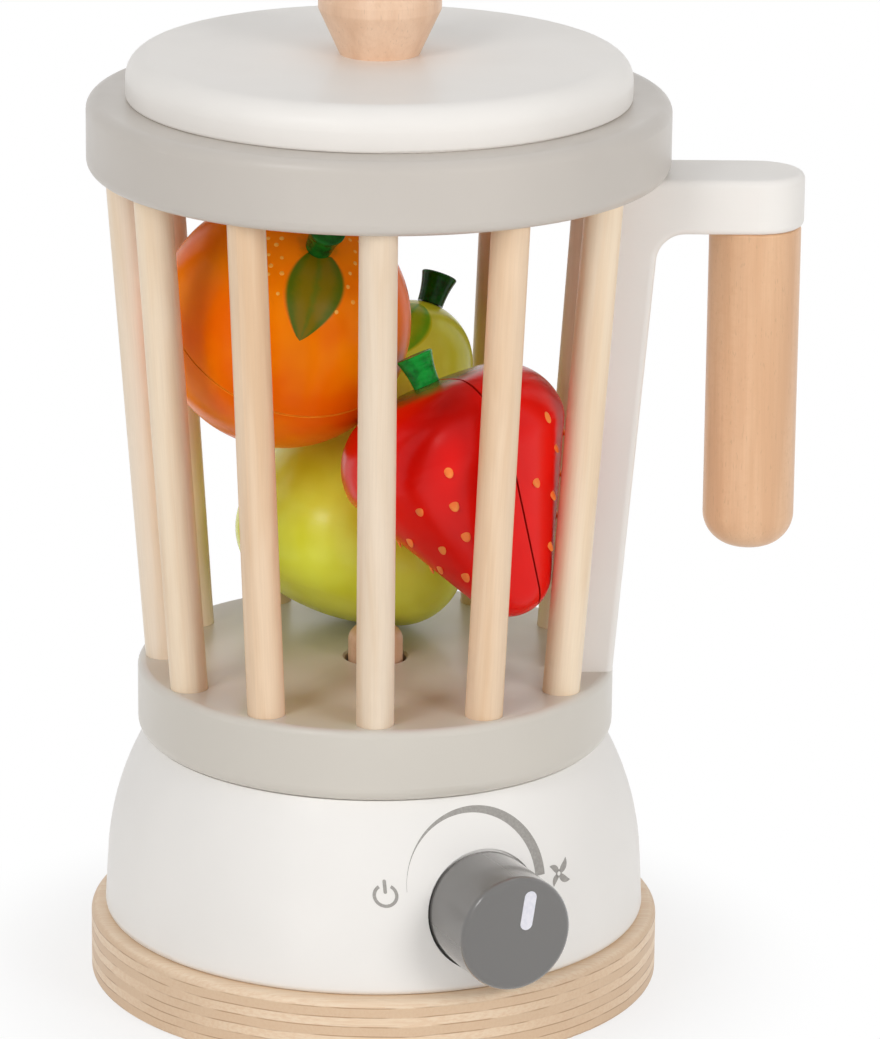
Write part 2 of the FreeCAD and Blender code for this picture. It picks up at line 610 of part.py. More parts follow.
def make_floor():
    """Disc that carries the cage, bored for the peg and with a blind socket per dowel."""
    body = new_body("floor_blank")
    face = sketch_on(body, "floor_outline", "XY_Plane", lifted(HOUSING_TOP))
    circle(face, "Sizes.floor_radius")
    hole = "Sizes.peg_radius + Sizes.peg_clearance"
    circle(face, hole)
    pad(body, "floor_disc", face, "Sizes.floor_thickness")
    round_rim(body, "floor_low_edge", "Sizes.floor_radius", HOUSING_TOP, "Sizes.floor_lower_round")
    round_rim(body, "floor_top_edge", "Sizes.floor_radius", FLOOR_TOP, "Sizes.floor_upper_round")
    edges = rim(body.Tip, hole, FLOOR_TOP) + rim(body.Tip, hole, HOUSING_TOP)
    dress(body, "Chamfer", "floor_hole_edges", edges, "Sizes.hole_chamfer")

    drills = []
    depth = "Sizes.socket_depth + Sizes.end_gap"
    length = f"{depth} + Sizes.dowel_radius"
    for place, turn in dowel_turns():
        drill = rod(f"floor_socket_{place}", SOCKET_RADIUS, length, along_dowel(turn, FLOOR_TOP, depth))
        drills.append(drill)
    screws = []
    for number, offset in enumerate(bracket_offsets(), start=1):
        name = f"bracket_drill_{number}"
        drills += screw_drill(name, "Sizes.floor_thickness", STRIP_FOOT_MIDDLE, offset, HOUSING_TOP)
        length = "(Sizes.floor_thickness - Sizes.screw_sink + Sizes.screw_grip)"
        place = placed(STRIP_FOOT_MIDDLE, offset, f"{HOUSING_TOP} + Sizes.screw_sink")
        screws.append(wood_screw(f"bracket_screw_{number}", length, place))
    bored(body, "jug_floor", drills)
    group("bracket_screws", screws)


def make_ring():
    """Ring that caps the cage, with sockets for the dowels in its underside."""
    body = new_body("ring_blank")
    face = sketch_on(body, "ring_outline", "XY_Plane", lifted(RING_BOTTOM))
    circle(face, "Sizes.ring_radius")
    circle(face, "Sizes.ring_bore")
    pad(body, "ring_band", face, "Sizes.ring_thickness")
    for name, radius, size in (
        ("outer", "Sizes.ring_radius", "Sizes.ring_outer_round"),
        ("inner", "Sizes.ring_bore", "Sizes.ring_inner_round"),
    ):
        edges = rim(body.Tip, radius, RING_BOTTOM) + rim(body.Tip, radius, RING_TOP)
        dress(body, "Fillet", f"ring_{name}_edges", edges, size)

    drills = []
    length = "Sizes.socket_depth + Sizes.end_gap + Sizes.dowel_radius"
    for place, turn in dowel_turns():
        start = along_dowel(turn, FLOOR_TOP, f"Sizes.dowel_radius - {DOWEL_CLEAR_LENGTH}")
        drills.append(rod(f"ring_socket_{place}", SOCKET_RADIUS, length, start))
    pins = []
    depth = "Sizes.bracket_dowel_depth"
    for number, offset in enumerate(bracket_offsets(), start=1):
        hole = "Sizes.bracket_dowel_radius + Sizes.glue_gap"
        place = placed(RING_MIDDLE, offset, RING_BOTTOM)
        drills.append(rod(f"ring_pin_hole_{number}", hole, f"{depth} + Sizes.end_gap", place))
        place = placed(RING_MIDDLE, offset, f"{RING_BOTTOM} - {depth}")
        pins.append(rod(f"bracket_dowel_{number}", "Sizes.bracket_dowel_radius", f"2 * {depth}", place))
    bored(body, "top_ring", drills)
    group("bracket_dowels", pins)


def bracket_edges(feature):
    """Long edges of the bracket: all but those on its foot, its head and its seams."""
    half_width = worth("Sizes.bracket_width") / 2
    foot = worth(FLOOR_TOP)
    head_start = worth(STRIP_HEAD_INNER)
    names = []
    for number, edge in enumerate(feature.Shape.Edges, start=1):
        box = edge.BoundBox
        on_side = box.YLength < SAME and abs(abs(box.YMin) - half_width) < SAME
        upright_seam = box.XLength < SAME and box.XMin > worth("Sizes.strip_head_reach")
        round_end = box.ZLength < SAME and box.XMax > worth(GRIP_AXIS) + SAME
        on_foot = box.ZMax < foot + SAME
        across_head = box.XMax < head_start + SAME and box.ZMin > foot + SAME
        if (on_side and not upright_seam and not on_foot) or round_end:
            if not (across_head and box.ZLength < SAME):
                names.append(f"Edge{number}")
    return names


def make_bracket():
    """One board cut to an inverted L: a leaning strip on the floor and an arm under the ring."""
    body = new_body("bracket_blank")
    side = sketch_on(body, "bracket_profile", "XZ_Plane")
    outline(
        side,
        (
            (STRIP_FOOT_OUTER, FLOOR_TOP),
            ("Sizes.strip_head_reach", ARM_BOTTOM),
            ("Sizes.arm_reach", ARM_BOTTOM),
            ("Sizes.arm_reach", RING_BOTTOM),
            (STRIP_HEAD_INNER, RING_BOTTOM),
            (STRIP_FOOT_INNER, FLOOR_TOP),
        ),
    )
    pad(body, "bracket_board", side, "Sizes.bracket_width", both_ways=True)

    corner = []
    for number, edge in enumerate(body.Tip.Shape.Edges, start=1):
        box = edge.BoundBox
        level = box.ZLength < SAME and abs(box.ZMin - worth(ARM_BOTTOM)) < SAME
        if level and abs(box.XMax - worth("Sizes.strip_head_reach")) < SAME:
            corner.append(f"Edge{number}")
    dress(body, "Fillet", "bracket_inside_corner", corner, "Sizes.bracket_corner")

    plan = sketch_on(body, "arm_end_plan", "XY_Plane", lifted(ARM_BOTTOM))
    half = "Sizes.bracket_width / 2"
    beyond = "Sizes.arm_reach + Sizes.overrun"
    outline(
        plan,
        (
            (GRIP_AXIS, f"-({half})", "Sizes.bracket_width / 2"),
            ("Sizes.arm_reach", "0", "Sizes.bracket_width / 2"),
            (GRIP_AXIS, half),
            (GRIP_AXIS, f"{half} + Sizes.overrun"),
            (beyond, f"{half} + Sizes.overrun"),
            (beyond, f"-({half} + Sizes.overrun)"),
            (GRIP_AXIS, f"-({half} + Sizes.overrun)"),
        ),
    )
    pocket(body, "arm_round_end", plan, "Sizes.arm_thickness", with_normal=True)
    dress(body, "Fillet", "bracket_soft_edges", bracket_edges(body.Tip), "Sizes.bracket_round")

    drills = []
    for number, offset in enumerate(bracket_offsets(), start=1):
        place = placed(STRIP_FOOT_MIDDLE, offset, FLOOR_TOP)
        drills.append(rod(f"strip_pilot_{number}", SCREW_HOLE, PILOT_DEPTH, place))
        hole = "Sizes.bracket_dowel_radius + Sizes.glue_gap"
        depth = "Sizes.bracket_dowel_depth + Sizes.end_gap"
        place = placed(RING_MIDDLE, offset, f"{RING_BOTTOM} - ({depth})")
        drills.append(rod(f"arm_pin_hole_{number}", hole, depth, place))
    hole = "Sizes.grip_dowel_radius + Sizes.glue_gap"
    depth = "Sizes.grip_dowel_in_arm + Sizes.end_gap"
    drills.append(rod("arm_grip_hole", hole, depth, placed(GRIP_AXIS, "0", ARM_BOTTOM)))
    bored(body, "handle_bracket", drills)


def make_grip():
    """Turned grip that hangs from the arm on a hidden dowel."""
    body = new_body("grip_blank")
    low = f"({ARM_BOTTOM} - Sizes.grip_length)"
    face = sketch_on(body, "grip_outline", "XY_Plane", lifted(low))
    circle(face, "Sizes.grip_radius", GRIP_AXIS)
    pad(body, "grip_block", face, "Sizes.grip_length")
    round_rim(body, "grip_end", "Sizes.grip_radius", low, "Sizes.grip_end_round")
    round_rim(body, "grip_top_edge", "Sizes.grip_radius", ARM_BOTTOM, "Sizes.grip_top_round")
    into_grip = "Sizes.grip_dowel_in_grip"
    depth = f"({into_grip} + Sizes.end_gap)"
    place = placed(GRIP_AXIS, "0", f"{ARM_BOTTOM} - {depth}")
    hole = "Sizes.grip_dowel_radius + Sizes.glue_gap"
    bored(body, "grip", [rod("grip_hole", hole, depth, place)])
    length = f"{into_grip} + Sizes.grip_dowel_in_arm"
    place = placed(GRIP_AXIS, "0", f"{ARM_BOTTOM} - {into_grip}")
    keep(rod("grip_dowel", "Sizes.grip_dowel_radius", length, place), "grip_dowel")


# ---------------------------------------------------------------- lid


def make_lid():
    """Turned lid: a soft-edged disc on the ring and a step that drops into its bore."""
    body = new_body("lid_blank")
    face = sketch_on(body, "lid_outline", "XY_Plane", lifted(RING_TOP))
    circle(face, "Sizes.lid_radius")
    pad(body, "lid_disc", face, "Sizes.lid_thickness")
    step = sketch_on(body, "lid_step_outline", "XY_Plane", lifted(LID_BOTTOM))
    step_radius = "Sizes.ring_bore - Sizes.lid_clearance"
    circle(step, step_radius)
    pad(body, "lid_step", step, "Sizes.lid_spigot_depth")
    round_rim(body, "lid_top_edge", "Sizes.lid_radius", LID_TOP, "Sizes.lid_top_round")
    round_rim(body, "lid_under_edge", "Sizes.lid_radius", RING_TOP, "Sizes.lid_under_round")
    round_rim(body, "lid_step_edge", step_radius, LID_BOTTOM, "Sizes.lid_spigot_round")
    through = "(Sizes.lid_thickness + Sizes.lid_spigot_depth)"
    bored(body, "lid", screw_drill("lid_drill", through, "0", "0", LID_BOTTOM))
    length = f"({through} - Sizes.screw_sink + Sizes.screw_grip)"
    place = placed(height=f"{LID_BOTTOM} + Sizes.screw_sink")
    keep(wood_screw("lid_screw", length, place), "lid_screw")


def make_knob():
    """Turned knob: a flare, a short band and a domed crown."""
    body = new_body("knob_blank")
    flare_top = f"({LID_TOP} + Sizes.knob_flare_height)"
    band_top = f"({flare_top} + Sizes.knob_band)"
    crown = f"({LID_TOP} + Sizes.knob_height)"
    half = sketch_on(body, "knob_profile", "XZ_Plane")
    outline(
        half,
        (
            ("0", LID_TOP),
            ("Sizes.knob_foot_radius", LID_TOP),
            ("Sizes.knob_radius", flare_top),
            ("Sizes.knob_radius", band_top, "Sizes.knob_crown_curve"),
            ("Sizes.knob_crown_flat", crown),
            ("0", crown),
        ),
    )
    revolve(body, "knob_turning", half)
    round_rim(body, "knob_shoulder", "Sizes.knob_radius", flare_top, "Sizes.knob_shoulder_round")
    pilot = rod("knob_pilot", SCREW_HOLE, PILOT_DEPTH, placed(height=LID_TOP))
    bored(body, "lid_knob", [pilot])


# ---------------------------------------------------------------- play fruit

# Each fruit is drawn about its own axis, with its widest place on the XY plane and its stalk on
# +Z, and all its pieces take the same placement.


def fruit_place(fruit, height, spin="0"):
    """Placement of a fruit: its place in the jug, its lean and its turn about its own axis."""
    yaw = yaw_of(f"Sizes.{fruit}_heading * 1deg")
    pitch = f"Sizes.{fruit}_tilt * 1deg"
    return placed(f"Sizes.{fruit}_x", f"Sizes.{fruit}_y", height, yaw, pitch, spin)


def cap_curve(radius, corner, height):
    """Radius of the flat arc that closes a fruit's wide end and runs into its corner arc."""
    shift = f"({radius} - {corner})"
    return f"(({shift} ^ 2 + {height} ^ 2 - {corner} ^ 2) / (2 * ({height} - {corner})))"


def cap_corner(radius, corner, height):
    """Across and height of the point where those two arcs meet."""
    curve = cap_curve(radius, corner, height)
    turn = f"atan(({radius} - {corner}) / ({curve} - {height}))"
    return f"{curve} * sin({turn})", f"({height} - {curve} + {curve} * cos({turn}))"


def flank_slope(radius, corner, end_radius, run):
    """Lean of the straight flank between a corner arc and the fruit's round narrow end."""
    shift = f"({radius} - {corner})"
    return f"(asin(({corner} - {end_radius}) / sqrt({shift} ^ 2 + {run} ^ 2)) + atan({shift} / {run}))"


def make_stalk(fruit, top, place):
    """Turned stalk with a hollow flank; its shank is glued into the fruit's top."""
    body = new_body(f"{fruit}_stalk")
    half = sketch_on(body, f"{fruit}_stalk_profile", "XZ_Plane")
    low = f"({top} - Sizes.stalk_shank_depth)"
    head = f"({top} + Sizes.stalk_height)"
    outline(
        half,
        (
            ("0", low),
            ("Sizes.stalk_shank_radius", low),
            ("Sizes.stalk_shank_radius", top),
            ("Sizes.stalk_foot_radius", top, "-Sizes.stalk_flare_curve"),
            ("Sizes.stalk_head_radius", head),
            ("0", head),
        ),
    )
    revolve(body, f"{fruit}_stalk_turning", half)
    edge = "Sizes.stalk_head_radius"
    round_rim(body, f"{fruit}_stalk_edge", edge, head, "Sizes.stalk_head_round")
    bind(body, Placement=place)
    keep(body, f"{fruit}_stalk")


def stalk_drill(fruit, top):
    """Blind hole for a stalk's shank, down from the fruit's top."""
    depth = "(Sizes.stalk_shank_depth + Sizes.end_gap)"
    length = f"{depth} + Sizes.overrun"
    radius = "Sizes.stalk_shank_radius + Sizes.glue_gap"
    return rod(f"{fruit}_stalk_hole", radius, length, placed(height=f"{top} - {depth}"))


def halve(fruit, turned, reach, seam, upright, top, place):
    """Saw a turned fruit in two, with a pad let into both halves and a hole for the stalk.

    The seam is upright in the XZ plane or level in the XY plane, moved along that plane's
    normal by an expression. The reach is more than the fruit measures from its origin.
    """
    pad_start = f"{seam} - Sizes.fruit_seam / 2 - Sizes.pad_depth"
    pad_length = "(Sizes.fruit_seam + 2 * Sizes.pad_depth)"
    if upright:
        pad_place = placed(y=pad_start, yaw="90deg", pitch="90deg")
    else:
        pad_place = placed(height=pad_start)
    recess = rod(f"{fruit}_pad_recess", "Sizes.pad_radius + Sizes.glue_gap", pad_length, pad_place)
    drills = doc.addObject("Part::Compound", f"{fruit}_drills")
    drills.Links = [recess, stalk_drill(fruit, top)]
    cored = doc.addObject("Part::Cut", f"{fruit}_cored")
    cored.Base = turned
    cored.Tool = drills

    side = f"2 * {reach}"
    low = f"-({reach})"
    starts = (f"{seam} - Sizes.fruit_seam / 2", f"{seam} + Sizes.fruit_seam / 2 - {side}")
    for name, start in zip(("front", "back") if upright else ("lower", "upper"), starts):
        corner = placed(low, start, low) if upright else placed(low, low, start)
        block = doc.addObject("Part::Box", f"{fruit}_{name}_saw")
        bind(block, Length=side, Width=side, Height=side, Placement=corner)
        half = doc.addObject("Part::Cut", f"{fruit}_{name}")
        half.Base = cored
        half.Tool = block
        bind(half, Placement=place)
        keep(half, f"{fruit}_{name}")
    return rod(f"{fruit}_pad", "Sizes.pad_radius", pad_length, f"{place} * {pad_place}")


def make_pear():
    """Turned pear, sawn lengthwise; it leans on the cage with its lower side on the peg."""
    wide = "Sizes.pear_radius"
    neck = "Sizes.pear_neck_radius"
    rise = "Sizes.pear_neck_rise"
    hip = "Sizes.pear_hip_curve"
    shoulder = "Sizes.pear_shoulder_curve"
    slope = flank_slope(wide, shoulder, neck, rise)
    hip_across, hip_drop = cap_corner(wide, hip, "Sizes.pear_bottom")
    body = new_body("pear_blank")
    half = sketch_on(body, "pear_profile", "XZ_Plane")
    outline(
        half,
        (
            ("0", "-Sizes.pear_bottom", cap_curve(wide, hip, "Sizes.pear_bottom")),
            (hip_across, f"-{hip_drop}", hip),
            (wide, "0", shoulder),
            (f"{wide} - {shoulder} + {shoulder} * cos({slope})", f"{shoulder} * sin({slope})"),
            (f"{neck} * cos({slope})", f"{rise} + {neck} * sin({slope})", neck),
            ("0", f"{rise} + {neck}"),
        ),
    )
    revolve(body, "pear_turning", half)
    place = fruit_place("pear", PEAR_HEIGHT, "Sizes.pear_spin * 1deg")
    top = f"({rise} + {neck})"
    make_stalk("pear", top, place)
    return halve("pear", body, f"({rise} + 2 * {neck})", "Sizes.seam_offset", True, top, place)


def make_strawberry():
    """Turned strawberry, sawn lengthwise, with its tip down."""
    wide = "Sizes.strawberry_radius"
    tip = "Sizes.strawberry_tip_radius"
    drop = "Sizes.strawberry_tip_drop"
    hip = "Sizes.strawberry_hip_curve"
    crown = "Sizes.strawberry_crown"
    corner = "Sizes.strawberry_crown_curve"
    slope = flank_slope(wide, hip, tip, drop)
    corner_across, corner_rise = cap_corner(wide, corner, crown)
    body = new_body("strawberry_blank")
    half = sketch_on(body, "strawberry_profile", "XZ_Plane")
    outline(
        half,
        (
            ("0", f"-({drop} + {tip})", tip),
            (f"{tip} * cos({slope})", f"-({drop} + {tip} * sin({slope}))"),
            (f"{wide} - {hip} + {hip} * cos({slope})", f"-({hip} * sin({slope}))", hip),
            (wide, "0", corner),
            (corner_across, corner_rise, cap_curve(wide, corner, crown)),
            ("0", crown),
        ),
    )
    revolve(body, "strawberry_turning", half)
    height = f"{PEAR_HEIGHT} + Sizes.strawberry_rise"
    place = fruit_place("strawberry", height, "Sizes.strawberry_spin * 1deg")
    make_stalk("strawberry", crown, place)
    return halve("strawberry", body, f"({drop} + 2 * {tip})", "Sizes.seam_offset", True, crown, place)


def make_orange():
    """Turned ball, sawn across near its middle."""
    radius = "Sizes.orange_radius"
    body = new_body("orange_blank")
    half = sketch_on(body, "orange_profile", "XZ_Plane")
    outline(
        half,
        (
            ("0", f"-{radius}", radius),
            (radius, "0", radius),
            ("0", radius),
        ),
    )
    revolve(body, "orange_turning", half)
    place = fruit_place("orange", f"{PEAR_HEIGHT} + Sizes.orange_rise")
    make_stalk("orange", radius, place)
    return halve("orange", body, f"(2 * {radius})", "Sizes.orange_seam_rise", False, radius, place)


# ---------------------------------------------------------------- build, check and write

make_base()
make_housing()
make_peg()
make_dial()
make_floor()
make_dowels()
make_ring()
make_bracket()
make_grip()
make_lid()
make_knob()
group("fruit_pads", [make_pear(), make_strawberry(), make_orange()])
doc.recompute()

for thing in doc.Objects:
    if "Invalid" in thing.State or "Error" in thing.State:
        raise RuntimeError(f"{thing.Label} failed: {thing.State}")
for node in nodes:
    if node.Shape.isNull() or not node.Shape.isValid() or not node.Shape.Solids:
        raise RuntimeError(f"{node.Label} has no valid solid")

os.makedirs("parts", exist_ok=True)
for node in nodes:
    node.Shape.exportStep(f"parts/{node.Label}.step")
    print(f"{node.Label}: {len(node.Shape.Solids)} solid(s), {node.Shape.Volume / 1000:.2f} cm3")
print(f"{len(nodes)} sub-parts written")
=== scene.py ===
# %% [markdown]
# # A wooden toy blender
#
# This lesson dresses a finished construction model of a toy blender: a plywood base, a
# turned housing with a dial, a jug made of raked dowels, a handle, a lid with a knob and
# three play fruits. The construction model is the fixed frame. Its pieces are never moved;
# they get finishes, and what is painted or printed on them is built on top.
#
# Everything is in metres, +Z is up, the front is -Y and the handle is on +X.

import math

import bpy
from mathutils import Matrix, Vector


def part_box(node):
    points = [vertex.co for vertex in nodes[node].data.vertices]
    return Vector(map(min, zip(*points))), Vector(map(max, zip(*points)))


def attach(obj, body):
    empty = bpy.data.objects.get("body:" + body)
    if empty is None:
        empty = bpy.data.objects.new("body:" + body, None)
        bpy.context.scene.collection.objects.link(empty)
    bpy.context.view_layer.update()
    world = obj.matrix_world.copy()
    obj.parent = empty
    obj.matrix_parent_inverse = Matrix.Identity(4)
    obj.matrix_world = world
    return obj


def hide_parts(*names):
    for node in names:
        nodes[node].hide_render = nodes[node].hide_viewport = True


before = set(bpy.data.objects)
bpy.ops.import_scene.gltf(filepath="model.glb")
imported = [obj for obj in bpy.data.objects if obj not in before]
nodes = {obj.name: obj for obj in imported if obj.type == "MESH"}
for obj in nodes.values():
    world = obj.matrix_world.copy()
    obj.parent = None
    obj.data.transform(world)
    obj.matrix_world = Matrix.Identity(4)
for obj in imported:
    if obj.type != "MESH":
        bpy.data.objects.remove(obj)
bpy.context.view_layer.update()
MM = 0.001

# %% [markdown]
# ## The camera
#
# A product shot of a small thing is taken from far away with a long lens, because that keeps
# the upright lines upright. The camera looks down by about 17 degrees, enough to show the top
# of the lid and the floor of the jug. It is aimed at a point beside the axis, because the
# handle makes the toy reach further to the right than to the left.

# %% Camera
CAMERA_PLACE = Vector((-0.00055, -1.48227, 0.57337))
CAMERA_AIM = Vector((0.016615, 0.0, 0.123653))
CAMERA_ROLL = 0.59
LENS = 205.5
SENSOR = 36.0


def put(name, data):
    """A new object in the scene, for a camera, a lamp or a mesh."""
    thing = bpy.data.objects.new(name, data)
    bpy.context.scene.collection.objects.link(thing)
    return thing


def turned(degrees, axis):
    """A turn about an axis."""
    return Matrix.Rotation(math.radians(degrees), 4, axis)


def aimed(place, aim):
    """Place and turn of a camera or lamp that looks at a point."""
    look = (aim - place).to_track_quat("-Z", "Y").to_matrix().to_4x4()
    return Matrix.Translation(place) @ look


camera_data = bpy.data.cameras.new("product_camera")
camera_data.lens = LENS
camera_data.sensor_width = SENSOR
camera = put("product_camera", camera_data)
camera.matrix_world = aimed(CAMERA_PLACE, CAMERA_AIM) @ turned(CAMERA_ROLL, "Z")
bpy.context.scene.camera = camera
print(f"camera {(CAMERA_AIM - CAMERA_PLACE).length:.2f} m from its aim")

# %% [markdown]
# ## Node trees in a few words
#
# Every finish and every repeated shape below is a node tree. One helper adds a node, sets its
# own settings, and then fills its inputs: a number or colour is typed in, and an output
# socket is joined with a link. Sums, and smooth steps from one range of values to another,
# have a helper each. Colours are written as the 0 to 255 values of a paint chart and turned
# into the linear values that the renderer works with.

# %% Helpers for node trees
def add(tree, kind, inputs=None, **settings):
    """Add a node, set its own settings, then type in or link its inputs."""
    node = tree.nodes.new(kind)
    for name, value in settings.items():
        setattr(node, name, value)
    for name, value in (inputs or {}).items():
        if isinstance(value, bpy.types.NodeSocket):
            tree.links.new(value, node.inputs[name])
        else:
            node.inputs[name].default_value = value
    return node


def arithmetic(tree, operation, *values):
    """One sum."""
    inputs = dict(enumerate(values))
    return add(tree, "ShaderNodeMath", inputs, operation=operation).outputs[0]


def between(tree, value, low, high, start=0.0, end=1.0):
    """Map a value from low..high to start..end, smoothly and clamped."""
    inputs = {"Value": value, "From Min": low, "From Max": high, "To Min": start, "To Max": end}
    node = add(tree, "ShaderNodeMapRange", inputs, interpolation_type="SMOOTHSTEP")
    return node.outputs["Result"]


def emptied(owner):
    """The node tree of a material or world, with nothing in it."""
    owner.use_nodes = True
    owner.node_tree.nodes.clear()
    return owner.node_tree


def chart(red, green, blue):
    """A paint-chart colour as linear RGBA."""
    linear = []
    for value in (red, green, blue):
        share = value / 255
        linear.append(share / 12.92 if share <= 0.04045 else ((share + 0.055) / 1.055) ** 2.4)
    return (*linear, 1.0)


print("mid grey:", [round(value, 3) for value in chart(128, 128, 128)])

# %% [markdown]
# ## The studio
#
# The floor is a plain pale sheet. Near the toy a share of it is lit like anything else and
# takes a soft shadow; further out it fades to the same white as the surroundings. What the
# camera and mirror-like reflections see as background is plain white, while the light that
# the surroundings throw on the toy is weaker. Two big soft lamps stand at the front, left and
# right, and a weaker one hangs overhead, so that fronts are brighter than tops. The two at the
# front are left out of reflections, because seen from behind they would turn every pale top
# into a glaring mirror. A smaller lamp, high up at the left, gives the gloss paint its
# highlights instead.

# %% Floor
FLOOR_SIZE = 6.0
FLOOR_DROP = 0.0001
FADE_START = 0.076
FADE_END = 0.125
FADE_AT_TOY = 0.75
FLOOR_PAPER = (250, 249, 247)
WHITE = (1, 1, 1, 1)


def seen_directly(tree):
    """1 where a ray comes from the camera, a mirror or glass, and 0 for the light itself."""
    path = add(tree, "ShaderNodeLightPath").outputs
    either = arithmetic(tree, "MAXIMUM", path["Is Camera Ray"], path["Is Glossy Ray"])
    return arithmetic(tree, "MAXIMUM", either, path["Is Transmission Ray"])


def new_mesh(name, points, faces=()):
    """A mesh from its points and faces."""
    mesh = bpy.data.meshes.new(name)
    mesh.from_pydata(points, [], faces)
    return mesh


floor_finish = bpy.data.materials.new("pale_floor")
tree = emptied(floor_finish)
spot = add(tree, "ShaderNodeTexCoord").outputs["Object"]
distance = add(tree, "ShaderNodeVectorMath", {0: spot}, operation="LENGTH").outputs["Value"]
fade = between(tree, distance, FADE_START, FADE_END, FADE_AT_TOY)
share = arithmetic(tree, "MULTIPLY", fade, seen_directly(tree))
lit = add(tree, "ShaderNodeBsdfDiffuse", {"Color": chart(*FLOOR_PAPER)})
white = add(tree, "ShaderNodeEmission", {"Color": WHITE, "Strength": 1.0})
blend = add(tree, "ShaderNodeMixShader", {0: share, 1: lit.outputs[0], 2: white.outputs[0]})
add(tree, "ShaderNodeOutputMaterial", {"Surface": blend.outputs[0]})

half = FLOOR_SIZE / 2
corners = [(-half, -half), (half, -half), (half, half), (-half, half)]
floor_mesh = new_mesh("studio_floor", [(x, y, -FLOOR_DROP) for x, y in corners], [(0, 1, 2, 3)])
floor_mesh.materials.append(floor_finish)
studio_floor = put("studio_floor", floor_mesh)
print(f"floor {FLOOR_SIZE} m square")

# %% World and lamps
WORLD_LIGHT = 0.37
LAMP_AIM = Vector((0, 0, 0.13))
LAMPS = (
    # name, place, size in metres, watts, and whether gloss reflects it
    ("left_softbox", (-0.95, -1.25, 0.75), 0.6, 5.6, False),
    ("right_softbox", (1.05, -1.15, 0.65), 0.6, 8.8, False),
    ("top_softbox", (0.0, 0.35, 1.5), 1.2, 2.7, True),
    ("sparkle_lamp", (-0.81, -1.12, 1.22), 0.45, 3.6, True),
)

world = bpy.data.worlds.new("white_studio")
bpy.context.scene.world = world
tree = emptied(world)
ambient = add(tree, "ShaderNodeBackground", {"Color": WHITE, "Strength": WORLD_LIGHT})
shown = add(tree, "ShaderNodeBackground", {"Color": WHITE, "Strength": 1.0})
mixed = {0: seen_directly(tree), 1: ambient.outputs[0], 2: shown.outputs[0]}
blend = add(tree, "ShaderNodeMixShader", mixed)
add(tree, "ShaderNodeOutputWorld", {"Surface": blend.outputs[0]})

for name, place, size, watts, reflected in LAMPS:
    lamp_data = bpy.data.lights.new(name, "AREA")
    lamp_data.shape = "SQUARE"
    lamp_data.size = size
    lamp_data.energy = watts
    lamp = put(name, lamp_data)
    lamp.visible_glossy = reflected
    lamp.matrix_world = aimed(Vector(place), LAMP_AIM)
bpy.context.scene.view_settings.view_transform = "Standard"
print(f"{len(LAMPS)} lamps")

# %% [markdown]
# ## Places to hang patterns on
#
# A pattern in wood or paint is a solid pattern: it fills space, and the surface cuts through
# it. Each finish therefore starts from the piece's own coordinates, moved to the piece's
# axis, turned so that its Z runs along the grain, and scaled so that one unit is a
# millimetre. The rest of a recipe can then be written in millimetres.

# %% Finish helpers
def new_finish(name, roughness, specular=0.5, coat=0.0, coat_roughness=0.08):
    """An empty material with one Principled shader; returns the material, tree and shader."""
    finish = bpy.data.materials.new(name)
    tree = emptied(finish)
    inputs = {
        "Roughness": roughness,
        "Specular IOR Level": specular,
        "Coat Weight": coat,
        "Coat Roughness": coat_roughness,
    }
    shader = add(tree, "ShaderNodeBsdfPrincipled", inputs)
    add(tree, "ShaderNodeOutputMaterial", {"Surface": shader.outputs[0]})
    return finish, tree, shader


def in_millimetres(tree, place=(0, 0, 0), turn=(0, 0, 0)):
    """The piece's coordinates in millimetres, seen from a frame at this place and turn."""
    spot = add(tree, "ShaderNodeTexCoord").outputs["Object"]
    settings = {"Vector": spot, "Location": place, "Rotation": turn, "Scale": (MM, MM, MM)}
    return add(tree, "ShaderNodeMapping", settings, vector_type="TEXTURE").outputs[0]


def stretched(tree, vector, scale):
    """Scale coordinates differently along each axis."""
    return add(tree, "ShaderNodeMapping", {"Vector": vector, "Scale": scale}).outputs[0]


def noise(tree, vector, scale, detail=3.0, roughness=0.5, distortion=0.0):
    """Noise from 0 to 1."""
    inputs = {
        "Vector": vector,
        "Scale": scale,
        "Detail": detail,
        "Roughness": roughness,
        "Distortion": distortion,
    }
    return add(tree, "ShaderNodeTexNoise", inputs).outputs["Fac"]


def blended(tree, share, first, second):
    """Mix two colours."""
    return add(tree, "ShaderNodeMix", {0: share, 6: first, 7: second}, data_type="RGBA").outputs[2]


def two_tone(tree, value, low, high, light, dark):
    """Two chart colours: light where a value is low, and dark where it is high."""
    return blended(tree, between(tree, value, low, high), chart(*light), chart(*dark))


def show(tree, shader, colour, height=None, depth=0.0):
    """Join the colour, and a relief: a height from 0 to 1 stands this many millimetres proud."""
    tree.links.new(colour, shader.inputs["Base Color"])
    if height is not None:
        inputs = {"Height": height, "Distance": depth * MM, "Strength": 1.0}
        bump = add(tree, "ShaderNodeBump", inputs)
        tree.links.new(bump.outputs[0], shader.inputs["Normal"])


def wear(node_names, finish):
    """Give a finish to pieces of the frame."""
    for name in node_names:
        slots = nodes[name].data.materials
        slots.clear()
        slots.append(finish)


print("finish helpers ready")

# %% [markdown]
# ## Satin paint on wood
#
# The lid, the housing and the bracket are painted white, the ring and the jug's floor a warm
# grey, and the dial dark grey. It is a water-based satin paint, sprayed on sanded wood. What
# makes it look like paint and not plastic is small: the tone drifts a little over a few
# centimetres, the film has a fine orange-peel, and the grain of the wood telegraphs through
# as long shallow ripples.

